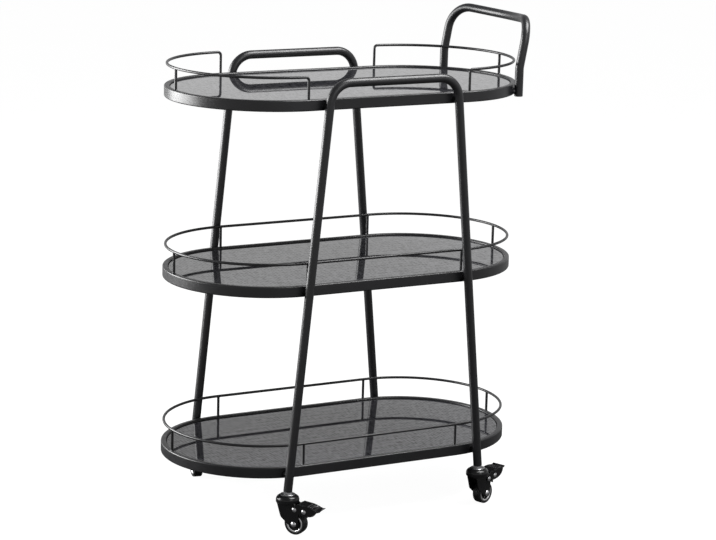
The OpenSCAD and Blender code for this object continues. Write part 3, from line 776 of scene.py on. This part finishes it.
def end_wire(side, top, sides=20):
    """Wire round one end of the top tray, both ends bent down to the rim."""
    z = top + RAIL_RISE
    sweep = math.acos((RAIL_END_X + RAIL_BEND - STRAIGHT_HALF) / RIM_RADIUS)
    points, ways = [], []
    for sy in (-1, 1):
        end = Vector((STRAIGHT_HALF + RIM_RADIUS * math.cos(sweep), sy * RIM_RADIUS * math.sin(sweep), z))
        back = Vector((-math.sin(sweep), sy * math.cos(sweep), 0))
        up = Vector((0, 0, 1))
        bend, turns = [end + back * RAIL_BEND - up * RAIL_RISE], [-up]
        for k in range(9):
            a = math.pi / 2 * k / 8
            bend.append(end + back * RAIL_BEND * math.cos(a) - up * RAIL_BEND * (1 - math.sin(a)))
            turns.append(-back * math.sin(a) + up * math.cos(a))
        turns[0] = up
        if sy < 0:
            points += bend
            ways += turns
            for k in range(1, 64):
                a = -sweep + 2 * sweep * k / 64
                points.append(Vector((STRAIGHT_HALF + RIM_RADIUS * math.cos(a), RIM_RADIUS * math.sin(a), z)))
                ways.append(Vector((-math.sin(a), math.cos(a), 0)))
        else:
            points += bend[::-1]
            ways += [-way for way in turns[::-1]]
    made = swept_round(points, ways, WIRE / 2, sides)
    faces = [f[::-1] for f in rings_joined(len(points), sides, False)]
    faces += [list(range(sides)), [len(made) - 1 - k for k in range(sides)]]
    place = Matrix.Rotation(0 if side > 0 else math.pi, 4, "Z")
    return [place @ p for p in made], faces


def joined(name, first, second):
    """One piece out of two meshes, both already in place."""
    work = bmesh.new()
    work.from_mesh(first.data)
    work.from_mesh(second.data)
    mesh = bpy.data.meshes.new(name)
    work.to_mesh(mesh)
    work.free()
    mesh.materials.append(first.data.materials[0])
    for old in (first, second):
        bpy.data.objects.remove(old)
    mesh.shade_smooth()
    mesh.set_sharp_from_angle(angle=math.radians(45))
    piece = bpy.data.objects.new(name, mesh)
    bpy.context.scene.collection.objects.link(piece)
    return piece


def rail_piece(name, wire, spots, top):
    """Guard rail: its wire and the welded posts that hold it."""
    bent = make_piece(name + "_wire", *wire, PAINT, crease=60)
    posts = repeated(name + "_posts", POST_TREE, [Matrix.Translation((x, y, top)) for x, y in spots], PAINT)
    return joined(name, bent, posts)


for level in ("bottom", "middle"):
    top = RIM_TOPS[level]
    spots = [(sx * POST_X, sy * side_y(POST_X, RIM_RADIUS)) for sx in (-1, 1) for sy in (-1, 1)]
    spots += [(sx * (STRAIGHT_HALF + RIM_RADIUS), 0) for sx in (-1, 1)]
    rail = rail_piece(level + "_guard_rail", wire_loop(top + RAIL_RISE), spots, top)
    fit_piece(rail, CART, "frame_paint", level + "_rail")

for side, label in ((-1, "left"), (1, "right")):
    top = RIM_TOPS["top"]
    spots = [(side * (STRAIGHT_HALF + RIM_RADIUS), 0)]
    rail = rail_piece("top_" + label + "_guard_rail", end_wire(side, top), spots, top)
    fit_piece(rail, CART, "frame_paint", "top_" + label + "_rail")


# Side frames and handle

def leg_x(z):
    """Place of a leg's centre line at a height."""
    return FOOT_X - (z - LEG_END) * LEG_SLOPE


for side, label in ((-1, "front"), (1, "rear")):
    y = side * FRAME_Y
    corners = [Vector((-FOOT_X, y, LEG_END)), Vector((-leg_x(ARCH_Z), y, ARCH_Z)),
               Vector((leg_x(ARCH_Z), y, ARCH_Z)), Vector((FOOT_X, y, LEG_END))]
    piece = make_piece(label + "_side_frame", *hollow_bar(*bent_path(corners, [ARCH_BEND] * 2)), PAINT)
    fit_piece(piece, CART, "frame_paint", label + "_frame")

def handle_path(steps=12):
    """Points and directions up one leg of the handle, along its bowed grip and down again."""
    lean_up = Vector((math.sin(HANDLE_LEAN), 0, math.cos(HANDLE_LEAN)))
    outward = Vector((math.cos(HANDLE_LEAN), 0, -math.sin(HANDLE_LEAN)))
    across = Vector((0, 1, 0))
    inward = math.sin(GRIP_BOW) * outward - math.cos(GRIP_BOW) * across
    arm = (HANDLE_RISE - KINK_Z + RIM_TOPS["top"]) / math.cos(HANDLE_LEAN) - GRIP_BEND
    kink = Vector((HANDLE_X, HANDLE_Y, KINK_Z))
    top = kink + arm * lean_up
    points, ways = bent_path([Vector((HANDLE_X, HANDLE_Y, HANDLE_FOOT)), kink, top], [KINK_BEND])
    for k in range(1, steps + 1):
        a = math.pi / 2 * k / steps
        points.append(top + GRIP_BEND * ((1 - math.cos(a)) * inward + math.sin(a) * lean_up))
        ways.append(math.cos(a) * lean_up + math.sin(a) * inward)
    bow = (HANDLE_Y - GRIP_BEND * math.cos(GRIP_BOW)) / math.sin(GRIP_BOW)
    centre = points[-1] - bow * (math.cos(GRIP_BOW) * outward + math.sin(GRIP_BOW) * across)
    for k in range(1, steps + 1):
        a = GRIP_BOW * (1 - k / steps)
        points.append(centre + bow * (math.cos(a) * outward + math.sin(a) * across))
        ways.append(math.sin(a) * outward - math.cos(a) * across)
    flip = Vector((1, -1, 1))
    points += [p * flip for p in points[-2::-1]]
    ways += [-(w * flip) for w in ways[-2::-1]]
    return points, ways


grip = make_piece("grip_handle", *hollow_bar(*handle_path()), PAINT)
fit_piece(grip, CART, "frame_paint", "push_handle")

plugs = Shell()
plug_profile = [(0, -PLUG_FLANGE), (0.0055, -PLUG_FLANGE), (0.0072, -PLUG_FLANGE + 0.0002),
                (0.0079, -PLUG_FLANGE + 0.0008), (0.0080, -0.0002), (0.0079, 0), (0.0067, 0), (0.0067, 0.004),
                (0, 0.004)]
for sy in (-1, 1):
    plugs.take(*turned(plug_profile, 40), Matrix.Translation((HANDLE_X, sy * HANDLE_Y, HANDLE_FOOT)))
end_plugs = make_piece("handle_end_plugs", plugs.points, plugs.faces, PLUG_PLASTIC)
fit_piece(end_plugs, CART, "plug", "handle_plugs")


# Fixings

def fixing_places(gap_to):
    """Matrix of each screw through a rim into a leg, its Z pointing out of the tray."""
    made = []
    for top in RIM_TOPS.values():
        z = top - SCREW_DROP
        x = leg_x(z)
        for sx in (-1, 1):
            for sy in (-1, 1):
                spot = Matrix.Translation((sx * x, sy * gap_to(x), z))
                made.append(spot @ Matrix.Rotation(-sy * math.pi / 2, 4, "X"))
    return made


def screw_profile():
    """Domed head with a socket, from the seat at 0 down to the shank and back to the dome."""
    ball = (HEAD_DIAMETER ** 2 / 4 + HEAD_RISE ** 2) / (2 * HEAD_RISE)
    socket = SOCKET_WIDTH / 2
    rows = [(0, -HEAD_RISE * 0.35), (socket * 0.98, -HEAD_RISE * 0.35), (socket, -HEAD_RISE * 0.94)]
    for k in range(7):
        r = socket * 1.1 + (HEAD_DIAMETER / 2 - socket * 1.1) * k / 6
        rows.append((r, -(math.sqrt(ball * ball - r * r) - (ball - HEAD_RISE))))
    rows += [(HEAD_DIAMETER / 2, 0.00005), (0.0025, 0.00005), (0.0025, 0.009), (0, 0.009)]
    return rows


SCREW = turned_template(screw_profile(), 30)
SCREW_TREE = pattern_tree("domed_screws", SCREW)

screw_seats = fixing_places(lambda x: side_y(x + HEAD_DIAMETER / 2, INNER_RADIUS))
fit_piece(repeated("leg_screws", SCREW_TREE, screw_seats, SCREW_STEEL), CART, "bright_steel", "frame_screws")

handle_seats = []
for sy in (-1, 1):
    swing = Matrix.Translation((STRAIGHT_HALF, 0, RIM_TOPS["top"] - SCREW_DROP))
    swing = swing @ Matrix.Rotation(sy * HANDLE_ANGLE, 4, "Z")
    seat = math.sqrt(INNER_RADIUS ** 2 - HEAD_DIAMETER ** 2 / 4)
    handle_seats.append(swing @ Matrix.Translation((seat, 0, 0)) @ Matrix.Rotation(math.pi / 2, 4, "Y"))
fit_piece(repeated("handle_fixing_screws", SCREW_TREE, handle_seats, SCREW_STEEL), CART, "bright_steel",
          "handle_screws")


# Casters

def in_mm(points):
    """Points drawn in millimetres, in metres."""
    return [p * MM for p in points]


def arc(centre, radius, start, end, steps):
    """(x, z) points of an arc, its angles in degrees."""
    return [
        (centre[0] + radius * math.cos(math.radians(start + (end - start) * k / steps)),
         centre[1] + radius * math.sin(math.radians(start + (end - start) * k / steps)))
        for k in range(steps + 1)
    ]


# A caster's own drawing is in millimetres, its swivel axis at 0 and the wheel trailing along +X
WHEEL_Z = 20
TRAIL = 18
CHEEK_IN = 9.5
CHEEK_OUT = 11.5
PIVOT = (20, 48)
RIVET = (38.5, 46.5)
ACROSS = Matrix.Rotation(math.pi / 2, 4, "X")


def hood_profile():
    """Closed section of the pressed hood: raised race ring, round shoulder, straight skirt."""
    outer = [(5.1, 70), (14.6, 70)] + [(15.4, 69.9), (16.0, 69.3), (16.6, 69.15)]
    outer += arc((13, 62), 8, 62, 0, 10) + [(21, 57.4), (20.7, 57)]
    inner = [(19.3, 57), (19, 57.4)] + arc((13, 61), 6, 0, 90, 8) + [(5.1, 67)]
    return outer + inner


def caster_fork():
    """Hood and two cheeks, to be fused into one pressed skin."""
    shell = Shell()
    shell.take(*turned(hood_profile(), 72, closed=True))
    outline = [(-16.36, 67.5), (-16.36, 58), (-15.9, 55.4), (-9.0, 33.0), (-7.2, 30.2)]
    outline += arc((TRAIL, WHEEL_Z), 8, 232, 342, 12)
    outline += [(26.6, 24), (27.6, 43), (27.6, 50.4), (26.6, 52.6), (17.5, 58), (16.36, 60), (16.36, 67.5)]
    for low, high in ((-CHEEK_OUT, -CHEEK_IN), (CHEEK_IN, CHEEK_OUT)):
        shell.take(*extruded(outline, low, high))
    return shell


def wheel_turned(profile, closed=False, sides=72):
    """Form turned about the axle from (radius, across) points."""
    points, faces = turned(profile, sides, closed)
    place = Matrix.Translation((TRAIL, 0, WHEEL_Z)) @ ACROSS
    return [place @ p for p in points], faces


def tyre_profile():
    """Section of the tyre: side walls, round shoulders and a groove each side of the tread."""
    half, deep = 8.5, 0.35
    shoulder = arc((17.6, half - 2.4), 2.4, 90, 25, 5)
    tread = [(19.90, 5.6), (19.95, 4.0), (19.95 - deep, 3.7), (19.95 - deep, 3.2), (19.97, 2.9), (20.0, 0)]
    upper = [(16.0, half - 0.15), (16.5, half)] + shoulder + tread
    lower = [(r, -y) for r, y in reversed(upper[:-1])]
    return upper + lower


def hub_profile():
    """Closed section of the hub: boss, dished web, rim seat for the ring."""
    upper = [(3.05, 9.2), (5.6, 9.2), (6.0, 8.8), (6.0, 5.2), (6.6, 4.7), (11.0, 4.3), (11.8, 4.8),
             (12.1, 6.6), (12.4, 7.0), (15.95, 7.0)]
    return upper + [(r, -y) for r, y in reversed(upper)]


def trim_rings():
    """Bright ring on each side of the hub."""
    shell = Shell()
    for side in (-1, 1):
        section = [(12.25, 7.0), (12.25, 7.6), (12.7, 8.0), (13.6, 8.2), (14.6, 8.2), (15.5, 8.0),
                   (15.95, 7.6), (15.95, 7.0)]
        points, faces = wheel_turned([(r, side * y) for r, y in section], closed=True)
        shell.take(points, faces)
    return shell


def caster_hub():
    """Hub with its spokes."""
    shell = Shell()
    shell.take(*wheel_turned(hub_profile(), closed=True))
    for k in range(6):
        spin = Matrix.Translation((TRAIL, 0, WHEEL_Z)) @ Matrix.Rotation(math.pi / 3 * k, 4, "Y")
        for low, high in ((-6.2, -4.0), (4.0, 6.2)):
            outline = [(5.6, -0.9), (11.9, -0.7), (11.9, 0.7), (5.6, 0.9)]
            shell.take(*extruded(outline, low, high), spin)
    return shell


def dome_rows(diameter, rise, seat, steps=6):
    """(radius, height) rows of a dome from its rim at seat up to its pole."""
    ball = (diameter ** 2 / 4 + rise ** 2) / (2 * rise)
    low_angle = math.asin(min(1.0, diameter / 2 / ball))
    turns = [low_angle * (1 - k / steps) for k in range(steps + 1)]
    return [(ball * math.sin(a), seat + rise - ball + ball * math.cos(a)) for a in turns]


def six_sided(width, low, high, chamfer=0.5):
    """Hexagon nut or collar with chamfered corners, about Z."""
    reach = width / 2 / math.cos(math.radians(30))
    points, faces = [], []
    trimmed = reach - chamfer * 1.6
    rows = [(trimmed, low), (reach, low + chamfer), (reach, high - chamfer), (trimmed, high)]
    for radius, z in rows:
        for k in range(6):
            a = math.pi / 3 * k
            points.append(Vector((radius * math.cos(a), radius * math.sin(a), z)))
    faces += rings_joined(4, 6, False)
    faces += [[5, 4, 3, 2, 1, 0], [18, 19, 20, 21, 22, 23]]
    return points, faces


def caster_axle():
    """Axle bolt with its domed head and its nut."""
    shell = Shell()
    place = Matrix.Translation((TRAIL, 0, WHEEL_Z)) @ ACROSS
    shell.take(*turned([(0, -15.5), (2.4, -15.5), (3, -14.9), (3, 11.5), (0, 11.5)], 32), place)
    head = [(0, 11.4), (5.5, 11.4)] + dome_rows(11, 3, 11.5)
    shell.take(*turned(head, 40), place)
    shell.take(*six_sided(10, -14.5, -11.5), place)
    return shell


def pin_with_heads(spot, diameter, half, head, rise):
    """Pin across the fork with a domed head at each end."""
    shell = Shell()
    place = Matrix.Translation((spot[0], 0, spot[1])) @ ACROSS
    ends = dome_rows(head, rise, half)
    rows = [(r, -z) for r, z in reversed(ends)] + [(diameter / 2, -half), (diameter / 2, half)] + ends
    shell.take(*turned(rows, 32), place)
    return shell


def caster_stem():
    """Threaded stem with its collar and the king pin below it."""
    shell = Shell()
    shell.take(*six_sided(15, 72, 76, 0.7))
    shell.take(*turned([(0, 71), (5, 71), (5, 66.7), (8, 66.7), (8, 64.5), (7.6, 64.1), (0, 64.1)], 40))
    shell.take(*turned([(0, 70.5), (5, 70.5), (5, 72.5), (0, 72.5)], 32))
    thread = [(0, 75.5), (4, 75.5)]
    for k in range(11):
        thread += [(4.0, 76.4 + 1.25 * k), (3.55, 77.0 + 1.25 * k)]
    thread += [(3.6, 90.4), (3.2, 91), (0, 91)]
    shell.take(*turned(thread, 32))
    return shell


def pedal_top(drop):
    """Line of the pedal plate, lowered by a drop."""
    return [(27, 59 - drop), (36, 58.4 - drop), (46, 57.5 - drop), (53, 55.6 - drop), (58, 54 - drop),
            (61.5, 52.4 - drop), (64, 51.6 - drop), (66.6, 51.6 - drop), (69, 52.5 - drop)]


def caster_pedal():
    """Pedal plate with side skirts, tread ribs and the shoe that meets the tyre."""
    shell = Shell()
    skirt = [(14, 48), (14.8, 51), (17, 53), (22, 56.5), (27, 59), (36, 58.4), (46, 57.5), (53, 55.6),
             (58, 54), (61.5, 52.4), (64, 51.5), (63.2, 48.2), (61, 45), (57.5, 41.5), (52, 39.4), (46, 38.5),
             (40, 38.7), (34, 39.5), (28, 41), (23, 42.8), (20, 42), (16.5, 43.2), (14.5, 45.4)]
    for low, high in ((-13.4, -11.8), (11.8, 13.4)):
        shell.take(*extruded(skirt[::-1], low, high))
    shell.take(*extruded((pedal_top(0) + pedal_top(1.6)[::-1])[::-1], -13.4, 13.4))
    for x, z in ((46, 57.5), (50, 56.5), (54, 55.3), (58, 54)):
        rib = [(x - 0.7, z - 0.6), (x + 0.7, z - 0.6), (x + 0.45, z + 0.45), (x - 0.45, z + 0.55)]
        shell.take(*extruded(rib, -10.5, 10.5))
    shoe = [(29, 57.6), (37, 57.4), (38.6, 36), (37.0, 30.2), (35.2, 32.6), (33.2, 34.6), (31, 36.3),
            (30, 38)]
    shell.take(*extruded(shoe[::-1], -7, 7))
    return shell


def soft_joined(piece, voxel, passes, keep):
    """Fuses a piece's overlapping forms into one pressed skin with soft inside corners."""
    fuse = piece.modifiers.new("fuse", "REMESH")
    fuse.mode = "VOXEL"
    fuse.voxel_size = voxel
    fuse.use_smooth_shade = True
    calm = piece.modifiers.new("calm", "SMOOTH")
    calm.factor = 0.5
    calm.iterations = passes
    fewer = piece.modifiers.new("fewer", "DECIMATE")
    fewer.ratio = keep
    ready = piece.evaluated_get(bpy.context.evaluated_depsgraph_get())
    mesh = bpy.data.meshes.new_from_object(ready)
    piece.modifiers.clear()
    piece.data = mesh
    mesh.shade_smooth()
    mesh.set_sharp_from_angle(angle=math.radians(40))


def put_caster_piece(name, shell, place, material, crease=38):
    """Mesh piece from a shell drawn in millimetres."""
    points = in_mm(shell.points)
    return make_piece(name, [place @ p for p in points], shell.faces, material, crease)


race = Shell()
for name, (sx, sy, turn, pressed) in CORNERS.items():
    leg = Matrix.Translation((sx * FOOT_X, sy * FRAME_Y, 0))
    place = leg @ Matrix.Rotation(turn, 4, "Z")
    spot = Matrix.Translation((PIVOT[0] * MM, 0, PIVOT[1] * MM))
    tipped = place @ spot @ Matrix.Rotation(0 if pressed else -PEDAL_TRAVEL, 4, "Y") @ spot.inverted()
    swivel, wheel, brake = (name + part for part in ("_swivel", "_wheel", "_brake"))

    disc = [(5.06, 70.3), (12.9, 70.3), (13.5, 70.7), (13.5, 71.4), (12.7, 72.0), (5.06, 72.0)]
    points, faces = turned(disc, 48, closed=True)
    race.take([leg @ p for p in in_mm(points)], faces)

    fit_piece(put_caster_piece(name + "_threaded_stem", caster_stem(), leg, CHROME), CART, "caster_chrome",
              name + "_stem")
    fork = put_caster_piece(name + "_pressed_fork", caster_fork(), place, FORK_PAINT)
    soft_joined(fork, 0.00055, 3, 0.45)
    fit_piece(fork, swivel, "fork_paint", name + "_fork")
    fit_piece(put_caster_piece(name + "_axle_bolt", caster_axle(), place, CHROME), swivel, "caster_chrome",
              name + "_axle")
    pivot = pin_with_heads(PIVOT, 5, 13.7, 8.4, 1.8)
    fit_piece(put_caster_piece(name + "_pivot_pin", pivot, place, CHROME), swivel, "caster_chrome",
              name + "_pivot")
    tyre = Shell()
    tyre.take(*wheel_turned(tyre_profile(), closed=True, sides=96))
    rubber = put_caster_piece(name + "_rubber_tyre", tyre, place, TYRE_RUBBER)
    fit_piece(rubber, wheel, "tyre", name + "_tyre")
    hub = put_caster_piece(name + "_wheel_hub", caster_hub(), place, HUB_PLASTIC)
    fit_piece(hub, wheel, "hub_plastic", name + "_hub")
    fit_piece(put_caster_piece(name + "_trim_rings", trim_rings(), place, RING_CHROME), wheel, "trim_chrome",
              name + "_trim")
    pedal = put_caster_piece(name + "_brake_pedal", caster_pedal(), tipped, PEDAL_PAINT_WITH_PAINTED_HIGHLIGHT)
    soften_edges(pedal, 0.0004)
    fit_piece(pedal, brake, "pedal_paint", name + "_pedal")
    rivet = pin_with_heads(RIVET, 4, 13.4, 8.4, 1.8)
    fit_piece(put_caster_piece(name + "_shoe_rivet", rivet, tipped, CHROME), brake, "caster_chrome",
              name + "_rivet")

races = make_piece("caster_race_discs", race.points, race.faces, CHROME)
fit_piece(races, CART, "caster_chrome", "caster_races")


# CAD nodes that stay as they are

def dress(node, material):
    """Gives a CAD node's own surface a finish."""
    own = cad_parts[node]
    own.data.materials.clear()
    own.data.materials.append(material)


for node, material in (("frame_spacers", BOSS_FINISH), ("handle_spacers", BOSS_FINISH), ("frame_nuts", ZINC),
                       ("leg_inserts", ZINC)):
    dress(node, material)


# Camera, floor and light

def fitted_camera():
    """Camera at the photograph's angle: its distance, turn, tilt and roll."""
    focal_px, wide_px, sensor = 2485.8, 716, 36.0
    turn, tilt, roll = math.radians(29.1), math.radians(12.33), math.radians(1.5)
    away, aside, above, aim_z = 4.61307, 0.03648, 0.0041, 0.420
    ahead = Vector((math.sin(turn) * math.cos(tilt), math.cos(turn) * math.cos(tilt), -math.sin(tilt)))
    right = Vector((math.cos(turn), -math.sin(turn), 0))
    up = right.cross(ahead)
    spot = Vector((0, 0, aim_z)) - ahead * away + right * aside + up * above
    rolled_right = right * math.cos(roll) + up * math.sin(roll)
    rolled_up = up * math.cos(roll) - right * math.sin(roll)
    data = bpy.data.cameras.new("camera")
    data.sensor_width = sensor
    data.lens = focal_px * sensor / wide_px
    data.clip_end = 100
    camera = bpy.data.objects.new("camera", data)
    facing = Matrix((rolled_right, rolled_up, -ahead)).transposed().to_4x4()
    camera.matrix_world = Matrix.Translation(spot) @ facing
    bpy.context.scene.collection.objects.link(camera)
    bpy.context.scene.camera = camera


def soft_box(name, spot, aim, size, power):
    """Rectangular soft light that aims at a point."""
    data = bpy.data.lights.new(name, "AREA")
    data.shape = "RECTANGLE"
    data.size, data.size_y = size
    data.energy = power
    lamp = bpy.data.objects.new(name, data)
    lamp.location = spot
    lamp.rotation_euler = (Vector(aim) - Vector(spot)).to_track_quat("-Z", "Y").to_euler()
    lamp.visible_camera = False
    bpy.context.scene.collection.objects.link(lamp)
    return lamp


def studio_world():
    """Pale backdrop that fades with height; the camera and gloss see it white below."""
    world = bpy.data.worlds.new("studio")
    bpy.context.scene.world = world
    world.use_nodes = True
    nodes, links = world.node_tree.nodes, world.node_tree.links
    nodes.clear()
    ways = nodes.new("ShaderNodeTexCoord").outputs["Generated"]
    parts = nodes.new("ShaderNodeSeparateXYZ")
    links.new(ways, parts.inputs[0])
    fade = nodes.new("ShaderNodeValToRGB")
    fade.color_ramp.elements[0].position = 0.0
    fade.color_ramp.elements[0].color = (0.92, 0.92, 0.92, 1.0)
    fade.color_ramp.elements[1].position = 1.0
    fade.color_ramp.elements[1].color = (0.24, 0.24, 0.24, 1.0)
    for height, level in ((0.14, 0.88), (0.21, 0.76), (0.28, 0.58), (0.50, 0.34)):
        stop = fade.color_ramp.elements.new(height)
        stop.color = (level, level, level, 1.0)
    links.new(parts.outputs["Z"], fade.inputs["Fac"])
    sky = nodes.new("ShaderNodeBackground")
    links.new(fade.outputs["Color"], sky.inputs["Color"])
    out = nodes.new("ShaderNodeOutputWorld")
    links.new(sky.outputs["Background"], out.inputs["Surface"])


def studio_floor():
    """Wide pale floor that reads white to the eye and keeps the shadow; in gloss it glows white only away
    from the cart, with painted shade near it.
    """
    size = 60.0
    points = [Vector((sx * size, sy * size, 0)) for sx, sy in ((-1, -1), (1, -1), (1, 1), (-1, 1))]
    material, nodes, links, shader = finish_nodes("pale_floor")
    coords = nodes.new("ShaderNodeTexCoord").outputs["Object"]
    mottle = noise(nodes, links, coords, 3.0, 3.0, 0.5)
    links.new(blend_colours(nodes, links, mottle, (0.075, 0.075, 0.075), (0.090, 0.090, 0.090)),
              shader.inputs["Base Color"])
    shader.inputs["Roughness"].default_value = 0.9
    shader.inputs["Specular IOR Level"].default_value = 0.0
    rays = nodes.new("ShaderNodeLightPath")
    away = nodes.new("ShaderNodeVectorMath")
    away.operation = "LENGTH"
    links.new(coords, away.inputs[0])
    # Gloss sees no floor glow within 0.7 m of the cart, rising to 0.6 at 4 m: painted shade round the cart,
    # seen in reflections.
    gloss_glow_past_painted_shade = remap(nodes, links, away.outputs["Value"], 0.7, 4.0, 0.0, 0.6)
    seen = nodes.new("ShaderNodeMath")
    seen.operation = "MAXIMUM"
    links.new(rays.outputs["Is Camera Ray"], seen.inputs[0])
    links.new(multiply(nodes, links, rays.outputs["Is Glossy Ray"], gloss_glow_past_painted_shade), seen.inputs[1])
    shader.inputs["Emission Color"].default_value = (1.0, 1.0, 1.0, 1.0)
    links.new(multiply(nodes, links, seen.outputs[0], FLOOR_GLOW), shader.inputs["Emission Strength"])
    floor = make_piece("floor", points, [[0, 1, 2, 3]], material, clean=False)


fitted_camera()
studio_world()
studio_floor()
soft_box("overhead_light", (1.15, -0.75, 2.85), (0, 0, 0.75), (1.5, 1.6), 140.0)
soft_box("left_back_light", (-1.85, 1.55, 0.95), (0, 0, 0.75), (2.0, 1.4), 150.0)
soft_box("fill_light", (0.6, -3.2, 2.2), (0, 0, 0.4), (1.6, 1.2), 25.0)

bpy.context.scene.view_settings.view_transform = "Standard"
